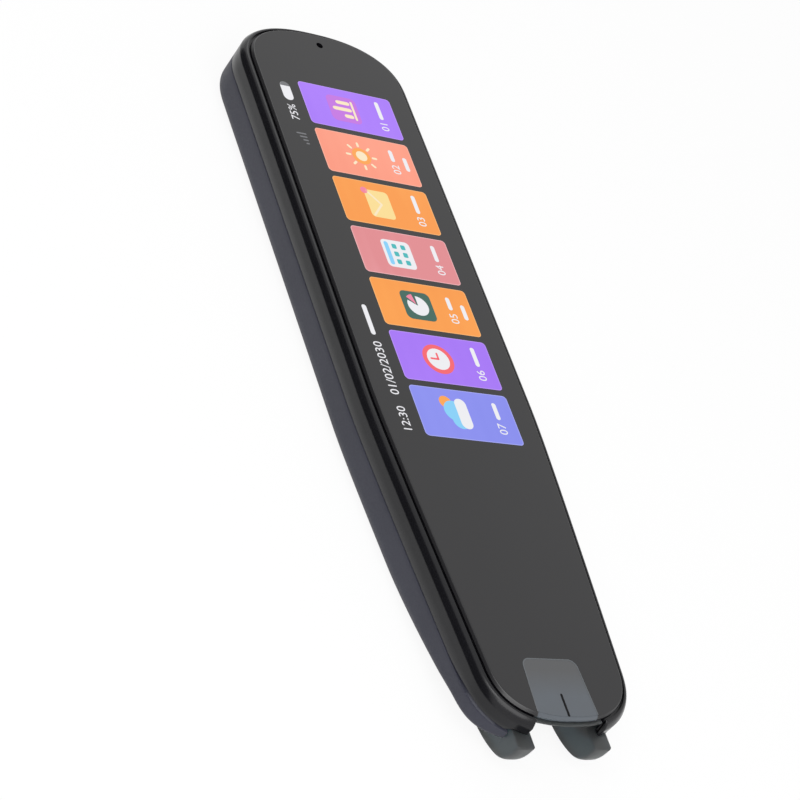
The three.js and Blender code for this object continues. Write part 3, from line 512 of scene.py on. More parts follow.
def grey_pane():
    """Unprinted part of the cover glass over the pale inside of the nib, neutral above, bluer below: its
    grey is painted light, the lit nib as it shows through the clear glass.
    """
    material = new_material("clear_glass_window")
    place = add(material, "TexCoord").outputs["Object"]
    y = add(material, "SeparateXYZ", {"Vector": place}).outputs["Y"]
    run = add(material, "MapRange", {
        "Value": y, "From Min": TINT_LOW_Y * MM, "From Max": TINT_HIGH_Y * MM}).outputs["Result"]
    cloud = grain_of(material, 3.5, 3)
    mixed = add(material, "Math", {0: cloud, 1: 0.35, 2: run}, operation="MULTIPLY_ADD")
    # Painted light: the pane's grey stands for the lit nib seen through the clear glass.
    return coat(material, (mixed.outputs[0], "#50565d", "#4a4b4d"), (cloud, 0.05, 0.12),
                more={"IOR": GLASS_IOR}, span=(0.1, 1.0))


def printed_line(name, colour, gloss):
    """Plain line printed under the glass, with some of the glass's own gloss over it."""
    return coat(new_material(name), colour, 0.08, more={"Specular IOR Level": gloss, "IOR": GLASS_IOR})


def circuit_board(name, mask, track, pitch):
    """Glass-epoxy board under solder mask: pale tracks, a pitch in millimetres apart, are low ridges."""
    material = new_material(name)
    place = add(material, "TexCoord").outputs["Object"]
    lines = add(material, "TexBrick", {
        "Vector": place, "Scale": 1 / (pitch * MM), "Mortar Size": 0.06, "Mortar Smooth": 0.3,
        "Brick Width": 3.2, "Row Height": 1.0}).outputs["Fac"]
    return coat(material, (lines, mask, track), (grain_of(material, 1.5, 2), 0.28, 0.4), (lines, 0.02))


def woven(name, dark, light, spacing, depth):
    """Acoustic mesh: square weave of round threads, drawn far coarser than real so that it shows."""
    material = new_material(name)
    place = add(material, "TexCoord").outputs["Object"]
    settings = {"Vector": place, "Scale": band_scale(spacing), "Distortion": 0.0}
    warp = add(material, "TexWave", settings, bands_direction="X").outputs["Fac"]
    weft = add(material, "TexWave", settings, bands_direction="Y").outputs["Fac"]
    cloth = add(material, "Math", {0: warp, 1: weft}, operation="MULTIPLY").outputs[0]
    return coat(material, (cloth, dark, light), 0.8, (cloth, depth), span=(0.1, 0.9))


def striped(name, dark, light, spacing, smooth, rough, axis="X"):
    """Film with conductors side by side, a spacing apart: far coarser than real, so that they show."""
    material = new_material(name)
    place = add(material, "TexCoord").outputs["Object"]
    settings = {"Vector": place, "Scale": band_scale(spacing), "Distortion": 0.0}
    bands = add(material, "TexWave", settings, bands_direction=axis).outputs["Fac"]
    return coat(material, (bands, dark, light), (bands, smooth, rough), (bands, 0.02))


def coated_lens(name, deep, painted_glint):
    """Multi-coated optical glass: nearly black straight on, with a painted violet glint, a reflection mixed
    into its colour, towards its rim.
    """
    material = new_material(name)
    # Painted reflection: the colour turns violet where the surface faces away from the eye.
    rim = add(material, "LayerWeight", {"Blend": 0.35}).outputs["Facing"]
    return coat(material, (rim, deep, painted_glint), (grain_of(material, 4, 2), 0.02, 0.05), span=(0.3, 0.9),
                more={"IOR": 1.6, "Coat Weight": 0.6, "Coat Roughness": 0.02})


# Rear cover
def make_back_cover(material):
    """Tray with a quarter-circle back edge, cut for the nib, the port, the grille and the camera window.

    The rings go up the outside, over a lap at the parting line, and down the inside."""
    inner = BACK_FILLET - WALL
    levels = [(BACK_FILLET + 0.6, swept(0.0)), (BACK_FILLET + 0.05, swept(0.0))]
    levels += [(inset, swept(rise)) for inset, rise in rounding(BACK_FILLET, BACK_FILLET, 12)]
    levels += [(0.0, swept(BACK_FILLET + (PARTING_Z - EDGE_ROUND - BACK_FILLET) * share))
               for share in (0.25, 0.5, 0.75)]
    levels += [(inset, swept(PARTING_Z - left)) for left, inset in rounding(EDGE_ROUND, EDGE_ROUND, 4)]
    levels += [(LAP_INSET, above_parting(0.0)), (LAP_INSET + RISER, lap(LAP_DEPTH)), (WALL, lap(LAP_DEPTH))]
    levels += [(WALL + inset, swept(WALL + rise, WALL)) for inset, rise in rounding(inner, inner, 12)[::-2]]
    cover = new_object("back_cover", new_mesh("back_cover", [casing_stack(levels)]))
    cut(cover, [foot_openings(), port_opening(), *grille_holes(), *camera_opening()])
    return keep(cover, "casing", material, "matte_cover", "rear_cover")


# Openings in the cover, with the sizes of what comes through them
FOOT_INNER = 5.9
FOOT_OUTER = NIB_HIGH[0]
FOOT_CLEARANCE = 0.3
SLOT_START_Y = END_Y + 1.9
SLOT_END_Y = TIP_Y + 19.9
SLOT_ROUND = 0.6
SLOT_CHAMFER = 0.4
SLOT_FLARE = 1.2
NOTCH_Y = END_Y + 10.1
PORT_CLEARANCE = 0.15
PORT_DEPTH = 7.9
PORT_MID_Z = (PORT_LOW[2] + PORT_HIGH[2]) / 2
HOLE_STEPS = 14
GRILLE_HOLE = 1.1
GRILLE_PITCH = 2.0
GRILLE_ROWS = 2
GRILLE_COLUMNS = 5
CAMERA_HOLE = 4.6


def foot_openings():
    """Notch for the nib: a slot for each foot, flared where it leaves the casing, and the gap between."""
    inner, outer = FOOT_INNER - FOOT_CLEARANCE, FOOT_OUTER + FOOT_CLEARANCE
    round_end = (outer, SLOT_END_Y) - rounding(SLOT_ROUND, SLOT_ROUND, ROUND_STEPS)
    flare = (outer + SLOT_FLARE, SLOT_START_Y) - SLOT_FLARE * quarter(ROUND_STEPS)
    right = np.vstack([
        [(inner, NOTCH_Y), (inner, SLOT_END_Y - SLOT_CHAMFER), (inner + SLOT_CHAMFER, SLOT_END_Y)],
        round_end, flare, [(outer + SLOT_FLARE, TIP_Y - 3)]])
    return prism(np.vstack([right, right[::-1] * (-1, 1)]), 2, -2.0, LIP_Z)


def port_opening():
    """Obround mouth of the charging port."""
    width, _, height = PORT_HIGH - PORT_LOW + 2 * PORT_CLEARANCE
    loop = obround(width, height, HOLE_STEPS) + (0, PORT_MID_Z)
    return prism(loop, 1, PORT_HIGH[1] - PORT_DEPTH, TOP_Y + 3)


def grille_holes():
    """Rows of round holes over the speaker's mesh."""
    x, y, _ = (SPEAKER_LOW + SPEAKER_HIGH) / 2
    columns = x + (np.arange(GRILLE_COLUMNS) - (GRILLE_COLUMNS - 1) / 2) * GRILLE_PITCH
    rows = y + (np.arange(GRILLE_ROWS) - (GRILLE_ROWS - 1) / 2) * GRILLE_PITCH
    return [prism(disc(GRILLE_HOLE / 2) + (u, v), 2, -1.0, 2.0) for v in rows for u in columns]


def camera_opening():
    """Seat of the rear camera's window and the hole behind it."""
    centre = (WINDOW_LOW + WINDOW_HIGH)[:2] / 2
    seat = (WINDOW_HIGH[0] - WINDOW_LOW[0]) / 2 + 0.3
    return [prism(disc(seat, 96) + centre, 2, -1.0, WINDOW_HIGH[2]),
            prism(disc(CAMERA_HOLE / 2, 64) + centre, 2, -1.5, WALL + 1)]


# Front frame
def bend(start, pull, end, steps):
    """Quadratic curve from start to end, drawn towards pull."""
    t = np.linspace(0, 1, steps)[:, None]
    start, pull, end = np.array(start), np.array(pull), np.array(end)
    return (1 - t) ** 2 * start + 2 * t * (1 - t) * pull + t * t * end


def frame_profile():
    """Closed section of the frame as inset and height: wall, bevel, lip, pocket and ledge.

    The bevel starts at a crease and is a quadratic curve that lies level where it meets the lip. Two
    rings just below the crease keep the wall's shading flat."""
    bottom = above_parting(PARTING_GAP)
    soft = above_parting(PARTING_GAP + EDGE_ROUND)
    tongue = lap(LAP_DEPTH - LAP_SLACK - PARTING_GAP)
    tongue_inset = LAP_INSET + LAP_PLAY
    points = [(WALL, soft), (WALL - RISER, tongue), (tongue_inset + RISER, tongue), (tongue_inset, bottom),
              (EDGE_ROUND, bottom),
              (EDGE_ROUND * 0.3, above_parting(PARTING_GAP + EDGE_ROUND * 0.3)), (0.0, soft)]
    points += [(0.0, level(PARTING_Z + 1.9)), (0.0, level(BEVEL_START_Z - 0.3)),
               (0.0, level(BEVEL_START_Z - 0.04))]
    bevel = bend((0, BEVEL_START_Z), (BEVEL_PULL, LIP_Z), (BEVEL_INSET, LIP_Z), 13)
    points += [(0.012, level(BEVEL_START_Z + 0.02))] + [(inset, level(z)) for inset, z in bevel[1:]]
    points += [(POCKET_INSET - 0.12, level(LIP_Z)), (POCKET_INSET - 0.04, level(LIP_Z - 0.04)),
               (POCKET_INSET, level(LIP_Z - 0.15)), (POCKET_INSET, level(LEDGE_TOP_Z)),
               (LEDGE_INSET, level(LEDGE_TOP_Z)), (LEDGE_INSET, level(LEDGE_BOTTOM_Z)),
               (WALL, level(LEDGE_BOTTOM_Z))]
    return points


def nib_to_nib(inset, fine=1):
    """The casing ring cut open at the nib centre, with the length along it at each point."""
    ring = casing_ring(inset, fine)
    start = len(ring) // 2
    path = np.vstack([np.roll(ring, -start, 0), ring[start:start + 1]])
    step = np.linalg.norm(np.diff(path, axis=0), axis=1)
    return path, np.concatenate([[0], np.cumsum(step)])


def open_path(inset, places):
    """Points of the casing ring between the two sides of the nib's gap, at shares of its length."""
    path, length = nib_to_nib(inset, 8)
    near = len(path) // 8
    first = np.interp(NIB_GAP, -path[:near, 0], length[:near])
    along = first + (length[-1] - 2 * first) * places
    return np.column_stack([np.interp(along, length, path[:, k]) for k in (0, 1)])


def frame_places():
    """Shares of the frame's length at which its section is set, close together near both ends.

    With them comes how far the section shrinks at each, a quarter circle at both ends and else 0."""
    length = nib_to_nib(0.0)[1]
    total = length[-1] - 2 * NIB_GAP
    inset, near = rounding(END_ROUND, END_ROUND, END_STEPS).T
    middle = (length > NIB_GAP + END_LEAD) & (length < length[-1] - NIB_GAP - END_LEAD)
    lead = np.arange(END_ROUND + 0.12, END_LEAD, 0.15)
    along = np.concatenate([near, lead, length[middle] - NIB_GAP, total - lead[::-1], total - near[::-1]])
    shrink = np.zeros(len(along))
    shrink[:END_STEPS] = inset
    shrink[-END_STEPS:] = inset[::-1]
    return along / total, shrink


def make_frame(material):
    """Frame section carried along the outline, open at the nib, with both ends rounded.

    At the gap's corners it draws back by a quarter circle, and its lower edge lifts over each foot."""
    places, shrink = frame_places()
    profile = frame_profile()
    rings = []
    for inset, height in profile:
        path = open_path(inset, places)
        rings.append(np.column_stack([path, height(path[:, 1])]))
    grid = np.array(rings).transpose(1, 0, 2)
    section = np.array([[inset, height(np.zeros(1))[0]] for inset, height in profile])
    ahead = np.roll(section, -1, 0) - np.roll(section, 1, 0)
    ahead /= np.linalg.norm(ahead, axis=1, keepdims=True)
    across = open_path(1.0, places) - open_path(0.0, places)
    across /= np.linalg.norm(across, axis=1, keepdims=True)
    grid[:, :, :2] += (shrink[:, None] * ahead[None, :, 1])[:, :, None] * across[:, None, :]
    grid[:, :, 2] -= shrink[:, None] * ahead[None, :, 0]
    at_nib = grid[:, :, 1] < END_Y + END_DEPTH
    from_gap = np.abs(grid[:, :, 0]) - NIB_GAP
    left = np.clip(GAP_ROUND - from_gap, 0, GAP_ROUND)
    push = GAP_ROUND - np.sqrt(GAP_ROUND ** 2 - left ** 2)
    weight = np.clip(1 - section[:, 0] / POCKET_INSET, 0, 1)
    grid[:, :, 1] += np.where(at_nib & (from_gap < GAP_ROUND), push * weight[None, :], 0)
    over_foot = 1 - ease(np.abs(grid[:, :, 0]) - FOOT_OUTER, 0, FOOT_LIFT_RUN)
    low = (section[:, 0] <= WALL) & (section[:, 1] < PARTING_Z + 1)
    grid[:, :, 2] += np.where(low[None, :] & at_nib, FOOT_LIFT * over_foot, 0)
    shell = new_object("frame_shell", new_mesh("frame_shell", [loft(grid)]))
    cut(shell, [key_opening()])
    return keep(shell, "casing", material, "satin_frame", "front_frame")


# Power key
KEY_CLEARANCE = 0.3
KEY_MIDDLE = ((KEY_LOW + KEY_HIGH) / 2)[1:]
KEY_LENGTH = 9.0
KEY_HEIGHT = KEY_HIGH[2] - KEY_LOW[2]
KEY_SOFT = 0.3
KEY_FLANGE = 0.4
KEY_FLANGE_X = HALF_WIDTH - WALL - 0.1


def key_opening():
    """Obround hole in the wall for the power key."""
    loop = obround(KEY_LENGTH + 2 * KEY_CLEARANCE, KEY_HEIGHT + 2 * KEY_CLEARANCE, HOLE_STEPS)
    return prism(loop + KEY_MIDDLE, 0, HALF_WIDTH - WALL - 0.5, HALF_WIDTH + 2)


def make_key(material):
    """Power key: obround cap with a soft edge, on a flange behind the wall."""
    steps = [(KEY_FLANGE_X - 0.6, -KEY_FLANGE), (KEY_FLANGE_X, -KEY_FLANGE), (KEY_FLANGE_X + 0.001, 0.0),
             (KEY_HIGH[0] - KEY_SOFT, 0.0)]
    steps += [(KEY_HIGH[0] - back, inset) for back, inset in rounding(KEY_SOFT, KEY_SOFT, 7)[1:]]
    steps.append((KEY_HIGH[0], KEY_SOFT + 0.15))
    sections = [(obround(KEY_LENGTH - 2 * inset, KEY_HEIGHT - 2 * max(inset, 0), 12) + KEY_MIDDLE, x)
                for x, inset in steps]
    return add_piece("side_key", [skin(sections, 0)], "power_key", material, "button_satin", "power_button")


# Clear window in the glass at the nib end, and its line for lining up the print
SIGHT_MID_X = -0.8
SIGHT_HALF = 5.5
SIGHT_FLARE = 0.5
SIGHT_TOP_Y = -63.3
SIGHT_ROUND = 1.6
SIGHT_RIM = 0.2
LINE_WIDTH = 0.4
LINE_TOP_Y = -69.8
TINT_LOW_Y = -70.0
TINT_HIGH_Y = -64.5


def sight_outline(inset, end_y=None):
    """Window outline: round top corners, straight sides, and the glass's own curve along the bottom.

    An end level takes the place of the curve where the outline is to reach past the glass."""
    half, radius = SIGHT_HALF - inset, SIGHT_ROUND - inset
    arc = radius * quarter(12)
    reach = (half - radius, 0)
    middle = (SIGHT_MID_X, SIGHT_TOP_Y - inset - radius)
    ring = half_ring(GLASS_INSET + EDGE_WIDTH + 0.02)[::-1][:CAP_STEPS]
    x = np.linspace(SIGHT_MID_X - half - SIGHT_FLARE, SIGHT_MID_X + half + SIGHT_FLARE, 31)
    bottom = np.column_stack([x, np.interp(np.abs(x), ring[:, 0], ring[:, 1])])
    if end_y is not None:
        bottom = bottom[[0, -1]] * (1, 0) + (0, end_y)
    return np.vstack([middle + (arc + reach), middle + (arc[::-1] + reach) * (-1, 1), bottom])


# Cover glass
def make_glass(material, clear):
    """Pane with a polished, slightly crowned bevel round it, drilled for the microphone.

    The clear window is the same pane cut to the window's outline, and the black glass is cut away
    there."""
    start, top = GLASS_TOP_Z - EDGE_DROP, GLASS_TOP_Z
    turn_in = (EDGE_WIDTH * 0.6, top - EDGE_DROP * 0.2)
    side = bend((0, start), (EDGE_WIDTH * 0.28, top - EDGE_DROP * 0.62), turn_in, 5)
    crown = bend(turn_in, (EDGE_WIDTH * 0.75, top), (EDGE_WIDTH, top), 6)
    steps = [(0.5, GLASS_BOTTOM_Z), (0.05, GLASS_BOTTOM_Z), (0.0, GLASS_BOTTOM_Z + 0.05),
             *side, *crown[1:], (EDGE_WIDTH + 0.15, top)]
    levels = [(GLASS_INSET + inset, level(z)) for inset, z in steps]
    mesh = new_mesh("front_glass", [casing_stack(levels)])
    through = (2, GLASS_BOTTOM_Z - 1, top + 1)
    window = prism(sight_outline(0.0, TIP_Y - 1), *through)
    pane = new_object("sight_pane", mesh.copy())
    cut(pane, [window], "INTERSECT")
    keep(pane, "casing", clear, "glass_black")
    glass = new_object("front_glass", mesh)
    mic = prism(disc(MIC_HOLE / 2, 48) + (0, TOP_Y - MIC_INSET), *through)
    cut(glass, [mic, window])
    return keep(glass, "casing", material, "glass_black", "cover_glass")


# Scan nib
FOOT_ROUND = 0.5
FOOT_SIDE = 1.3
FOOT_EASE_Z = 5.0
FOOT_EASE = 0.35
FOOT_TOP_Z = 8.45
FRONT_Z = 8.0
ARM_Y = TIP_Y + 16.0
HEEL_Y = TIP_Y + 18.8
ARM_END_Y = NIB_HIGH[1]
BRIDGE_TOP_Z = NIB_HIGH[2]
BRIDGE_THICKNESS = 2.0
BRIDGE_INSET = 0.9
BRIDGE_SLOPE = 0.75
BRIDGE_HALF = 6.6
BRIDGE_REAR_Y = END_Y + 12.5
ARCH_ROUND = 3.4
CROSSBAR_HALF = 6.2
ARM_HEIGHT = 3.0
VOXEL = 0.15
SOFT_PASSES = 9
NIB_SHARP_ANGLE = 80.0


def foot_profile():
    """Side view of one foot as y and z, from its flat top round the toe and along the skid to the rear."""
    middle = (TIP_Y + 2.5, 2.45)
    skid = (TIP_Y + 12.8, NIB_LOW[2])
    return np.vstack([
        [(TIP_Y, FOOT_TOP_Z), (TIP_Y, FOOT_TOP_Z - 0.6)],
        bend((TIP_Y, FOOT_TOP_Z - 1.4), (TIP_Y, 3.75), middle, 22),
        bend(middle, (TIP_Y + 6.3, 0.47), skid, 22)[1:],
        [(ARM_Y, 0.9), (HEEL_Y, 1.9)]])


def foot(side):
    """Foot profile carried across X, drawn in by a quarter ellipse towards each face.

    It draws in fully below and a little less above, and its top stays flat."""
    profile = foot_profile()
    ahead = np.gradient(profile, axis=0)
    ahead /= np.linalg.norm(ahead, axis=1, keepdims=True)
    inward = np.column_stack([-ahead[:, 1], ahead[:, 0]])
    inward[:2] = (1, 0)
    inward *= 1 - FOOT_EASE * ease(profile[:, 1:], FOOT_EASE_Z, FOOT_TOP_Z)
    drawn = rounding(FOOT_SIDE, FOOT_ROUND, 12)
    steps = [(FOOT_INNER + x, inset) for x, inset in drawn[::-1]]
    steps += [(FOOT_OUTER - x, inset) for x, inset in drawn]
    top = [(HEEL_Y, FRONT_Z), (TIP_Y + 6.5, FRONT_Z), (TIP_Y + 5.8, FOOT_TOP_Z)]
    return skin([(np.vstack([profile + inset * inward, top]), side * x) for x, inset in steps], 0)


def arch():
    """Bridge between the feet, set across X: flat on top, its underside curving down into each foot.

    Its front follows the casing's outline, drawn in further the lower it lies."""
    x = np.linspace(-BRIDGE_HALF, BRIDGE_HALF, 81)
    under = BRIDGE_TOP_Z - BRIDGE_THICKNESS
    reach = np.clip(np.abs(x) - (FOOT_INNER - ARCH_ROUND), 0, ARCH_ROUND)
    bottom = under - ARCH_ROUND + np.sqrt(ARCH_ROUND ** 2 - reach ** 2)
    bottom = np.where(np.abs(x) > FOOT_INNER - 0.05, FRONT_Z - 2.5, bottom)
    z = BRIDGE_TOP_Z + (bottom - BRIDGE_TOP_Z)[:, None] * np.linspace(0, 1, 9)[None, :]
    inset = BRIDGE_INSET + (BRIDGE_TOP_Z - z) * BRIDGE_SLOPE
    steps = np.linspace(0, 6, 25)
    near = [half_ring(step)[::-1][:CAP_STEPS] for step in steps]
    front_table = np.array([np.interp(np.abs(x), ring[:, 0], ring[:, 1]) for ring in near])
    y = np.array([np.interp(inset[k], steps, front_table[:, k]) for k in range(len(x))])
    rear = np.full((len(x), 1), BRIDGE_REAR_Y)
    section_y = np.hstack([y, rear, rear])
    section_z = np.hstack([z, bottom[:, None], np.full((len(x), 1), BRIDGE_TOP_Z)])
    across = np.repeat(x[:, None], section_y.shape[1], 1)
    return loft(np.stack([across, section_y, section_z], -1))


def block(x0, x1, y0, y1, z0, z1):
    """Box between two corners."""
    return prism(np.array([(x0, y0), (x1, y0), (x1, y1), (x0, y1)]), 2, z0, z1)


def make_nib(material):
    """Feet and their arms, bridge, clear wall and crossbar grown together, with soft moulded edges."""
    half, arm_low = CROSSBAR_HALF, FRONT_Z - ARM_HEIGHT
    shapes = [foot(-1), foot(1), arch(),
              block(-FOOT_OUTER, -FOOT_INNER, ARM_Y, ARM_END_Y, arm_low, FRONT_Z),
              block(FOOT_INNER, FOOT_OUTER, ARM_Y, ARM_END_Y, arm_low, FRONT_Z),
              block(-half, half, END_Y + 7, END_Y + 9, BRIDGE_TOP_Z - 7.8, BRIDGE_TOP_Z - 1),
              block(-half, half, ARM_END_Y - 1.5, ARM_END_Y, arm_low, FRONT_Z - 1)]
    nib = new_object("clear_nib", new_mesh("clear_nib", shapes))
    grow = nib.modifiers.new("grow", "REMESH")
    grow.mode = "VOXEL"
    grow.voxel_size = VOXEL * MM
    soft = nib.modifiers.new("soft", "SMOOTH")
    soft.factor = 0.5
    soft.iterations = SOFT_PASSES
    settle(nib, NIB_SHARP_ANGLE)
    return keep(nib, "nib", material, "nib_clear", "scan_nib")


# Lit screen. Its picture is stacked on the glass in thin layers, reads along +Y and has its tops
# towards -X, so an outline's first column is along the line of reading and its second is upwards.
TILE_MID_X = 1.6
TILE_WIDTH = 20.6
TILE_LENGTH = 10.6
TILE_PITCH = 11.84
FIRST_TILE_Y = 55.65
TILE_ROUND = 0.8
TILE_RIM = 0.14
LABEL_X = 8.4
LABEL_STEP = 2.8
LABEL_GAP = 3.2
FIGURE_HEIGHT = 1.7
WORD_HEIGHT = 0.9
STATUS_X = -12.1
CHARGE_PLACE = (-11.95, 57.55)
PICTURE_FOOT_Z = GLASS_TOP_Z - 0.005


def picture_z(layer):
    """Height of a layer of the picture."""
    return GLASS_TOP_Z + layer * DISPLAY_LAYER


def on_screen(outline, x, y):
    """Outline in reading and upward distances about a point of the glass."""
    return np.column_stack([x - outline[:, 1], y + outline[:, 0]])


def lit(outline, layer):
    """Closed plate from just inside the glass up to a layer of the picture."""
    return prism(outline, 2, PICTURE_FOOT_Z, picture_z(layer))


def lit_band(outer, inner, layer):
    """Closed plate between two loops of the same count of points."""
    low, high = PICTURE_FOOT_Z, picture_z(layer)
    return skin([(outer, low), (outer, high), (inner, high), (inner, low)], 2, "loop")


def stroke(start, end, width):
    """Straight stroke between two points, each end a half circle."""
    start, end = np.array(start, float), np.array(end, float)
    ahead = (end - start) / np.linalg.norm(end - start)
    side = np.array([-ahead[1], ahead[0]])
    turn = np.linspace(-math.pi / 2, math.pi / 2, 7)[:, None]
    arc = width / 2 * (np.cos(turn) * ahead + np.sin(turn) * side)
    return np.vstack([end + arc, start - arc])


def slice_of(radius, start, end):
    """Slice of a disc about zero, between two angles in degrees."""
    turn = np.radians(np.linspace(start, end, 24))
    return np.vstack([radius * np.column_stack([np.cos(turn), np.sin(turn)]), (0, 0)])


def figures(text, height, x, y, layer):
    """Plain figures of a given height, centred on a point of the glass, as closed plates."""
    curve = bpy.data.curves.new("figures", "FONT")
    curve.body = text
    curve.extrude = 0.5
    curve.resolution_u = 3
    holder = in_scene("figures", curve)
    graph = bpy.context.evaluated_depsgraph_get()
    mesh = bpy.data.meshes.new_from_object(holder.evaluated_get(graph))
    points = np.zeros(3 * len(mesh.vertices))
    mesh.vertices.foreach_get("co", points)
    points = points.reshape(-1, 3)
    faces = [list(face.vertices) for face in mesh.polygons]
    bpy.data.objects.remove(holder)
    low, high = points.min(axis=0), points.max(axis=0)
    flat = (points[:, :2] - (low + high)[:2] / 2) * height / (high - low)[1]
    lift = np.where(points[:, 2] > 0, picture_z(layer), PICTURE_FOOT_Z)
    return np.column_stack([on_screen(flat, x, y), lift]), faces


def tile_y(tile):
    """Middle of a tile, counted from the top end."""
    return FIRST_TILE_Y - tile * TILE_PITCH


def make_tiles(colours):
    """Seven rounded tiles, each with a thin paler rim."""
    outer = rounded_loop(TILE_LENGTH, TILE_WIDTH, TILE_ROUND)
    inner = rounded_loop(TILE_LENGTH - 2 * TILE_RIM, TILE_WIDTH - 2 * TILE_RIM, TILE_ROUND - TILE_RIM)
    for tile, (name, first, second, rim) in enumerate(colours):
        edge, face = (on_screen(loop, TILE_MID_X, tile_y(tile)) for loop in (outer, inner))
        add_piece(f"tile_{tile + 1}", [lit(face, 1)], "casing",
                  screen_light(f"lit_pixels_{name}", first, second), "glass_black")
        add_piece(f"tile_rim_{tile + 1}", [lit_band(edge, face, 1)], "casing",
                  screen_light(f"lit_rim_{name}", rim), "glass_black")


def icon_marks():
    """Plain marks for the seven tiles: lists of colour, layer and outline about each tile's middle."""
    bars = [("orchid", 2, rounded_loop(6.6, 6.6, 1.2)), ("cream", 3, stroke((-2.2, -2.2), (2.2, -2.2), 0.5))]
    bars += [("cream", 3, stroke((u, -1.3), (u, v), 0.9)) for u, v in ((-1.7, -0.1), (0, 2.0), (1.7, 0.9))]
    sun = [("amber", 2, disc(2.0)), ("cream", 3, disc(1.2))]
    sun += [("cream", 2, stroke((2.5 * math.cos(a), 2.5 * math.sin(a)),
                                (3.2 * math.cos(a), 3.2 * math.sin(a)), 0.5))
            for a in np.arange(8) * math.pi / 4]
    letter = [("butter", 2, rounded_loop(6.6, 5.2, 0.8)), ("cream", 3, stroke((-2.9, 2.0), (0, -0.4), 0.42)),
              ("cream", 4, stroke((2.9, 2.0), (0, -0.4), 0.42)), ("rose", 4, disc(0.75) + (3.0, 2.5))]
    days = [("white", 2, rounded_loop(6.4, 6.2, 0.9)),
            ("sky", 3, obround(5.4, WORD_HEIGHT) + (0, 2.05))]
    days += [("teal", 3, rounded_loop(1.1, 1.0, 0.25) + (u, v)) for u in (-1.8, 0, 1.8) for v in (0.4, -1.5)]
    share = [("forest", 2, rounded_loop(6.4, 6.4, 1.1)), ("white", 3, slice_of(2.2, 60, 360)),
             ("rose", 3, slice_of(2.2, 10, 50) + (0.35, 0.3))]
    clock = [("coral", 2, disc(3.2, 48)), ("white", 3, disc(2.3, 40)),
             ("coral", 4, stroke((0, 0), (0, 1.5), 0.4)), ("coral", 4, stroke((0, 0), (1.2, 0), 0.4))]
    cloud = [("sky", 2, disc(1.7) + (-1.4, 0.1)), ("sky", 3, disc(2.2) + (0.6, 0.7)),
             ("white", 4, obround(6.4, 2.4) + (0.2, -1.0)), ("amber", 1.6, disc(1.3) + (2.4, 2.0))]
    return [bars, sun, letter, days, share, clock, cloud]


# Lengths of the bars that stand for each tile's words, one for each line
LABEL_WORDS = [(4.6,), (2.9, 3.4), (4.4,), (3.8,), (2.9, 3.4), (4.2,), (3.6,)]


def label_marks():
    """Each tile's label: its number and a plain bar, and a second bar below where there are two."""
    shapes = []
    for tile, words in enumerate(LABEL_WORDS):
        y = tile_y(tile)
        x = LABEL_X if len(words) == 1 else LABEL_X - LABEL_STEP / 2 + 0.2
        start = y - (words[0] + LABEL_GAP) / 2
        shapes.append(figures(f"0{tile + 1}", FIGURE_HEIGHT, x, start + 1.25, 2))
        shapes.append(lit(on_screen(obround(words[0], WORD_HEIGHT), x, start + LABEL_GAP + words[0] / 2), 2))
        shapes += [lit(on_screen(obround(word, WORD_HEIGHT), x + LABEL_STEP, y), 2) for word in words[1:]]
    return shapes


def status_marks():
    """Clock, date, signal bars, charge in per cent and the charge capsule, with the empty part grey."""
    white = [figures("12:30", 1.7, STATUS_X, -17.5, 1), figures("01/02/2030", 1.75, STATUS_X, -7.0, 1),
             lit(on_screen(rounded_loop(6.6, 0.95, 0.46), STATUS_X, 3.4), 1),
             figures("75%", 1.7, STATUS_X, 52.2, 1),
             lit(on_screen(obround(4.7, 2.1), *CHARGE_PLACE), 1)]
    grey = [lit(on_screen(slice_of(1.045, -90, 90) + (1.3, 0), *CHARGE_PLACE), 2)]
    grey += [lit(on_screen(stroke((u, -0.9), (u, v), 0.34), STATUS_X, 45.6), 1)
             for u, v in ((-1.2, -0.5), (-0.4, -0.1), (0.4, 0.4), (1.2, 0.9))]
    return white, grey


def make_marks(colours):
    """One mesh for each colour of the icons, the labels and the status line."""
    shapes = {name: [] for name in colours}
    for tile, marks in enumerate(icon_marks()):
        for name, layer, outline in marks:
            shapes[name].append(lit(on_screen(outline, 0.0, tile_y(tile)), layer))
    white, grey = status_marks()
    shapes["white"] += white + label_marks()
    shapes["grey"] += grey
    for name, colour in colours.items():
        light = screen_light(f"lit_marks_{name}", colour)
        add_piece(f"marks_{name}", shapes[name], "casing", light, "glass_black")


def make_sight(rim, line):
    """The window's thin pale border, and the black line down its middle."""
    outer = sight_outline(0.0)
    border = lit_band(outer, sight_outline(SIGHT_RIM), 2)
    add_piece("sight_border", [border], "casing", rim, "glass_black")
    mark = lit(stroke((SIGHT_MID_X, LINE_TOP_Y), (SIGHT_MID_X, outer[:, 1].min() + 0.15), LINE_WIDTH), 3)
    add_piece("sight_line", [mark], "casing", line, "glass_black")


# Charging port
PORT_WALL = 0.3
BLADE_THICKNESS = 0.7
CONTACTS = 12
CONTACT_PITCH = 0.5


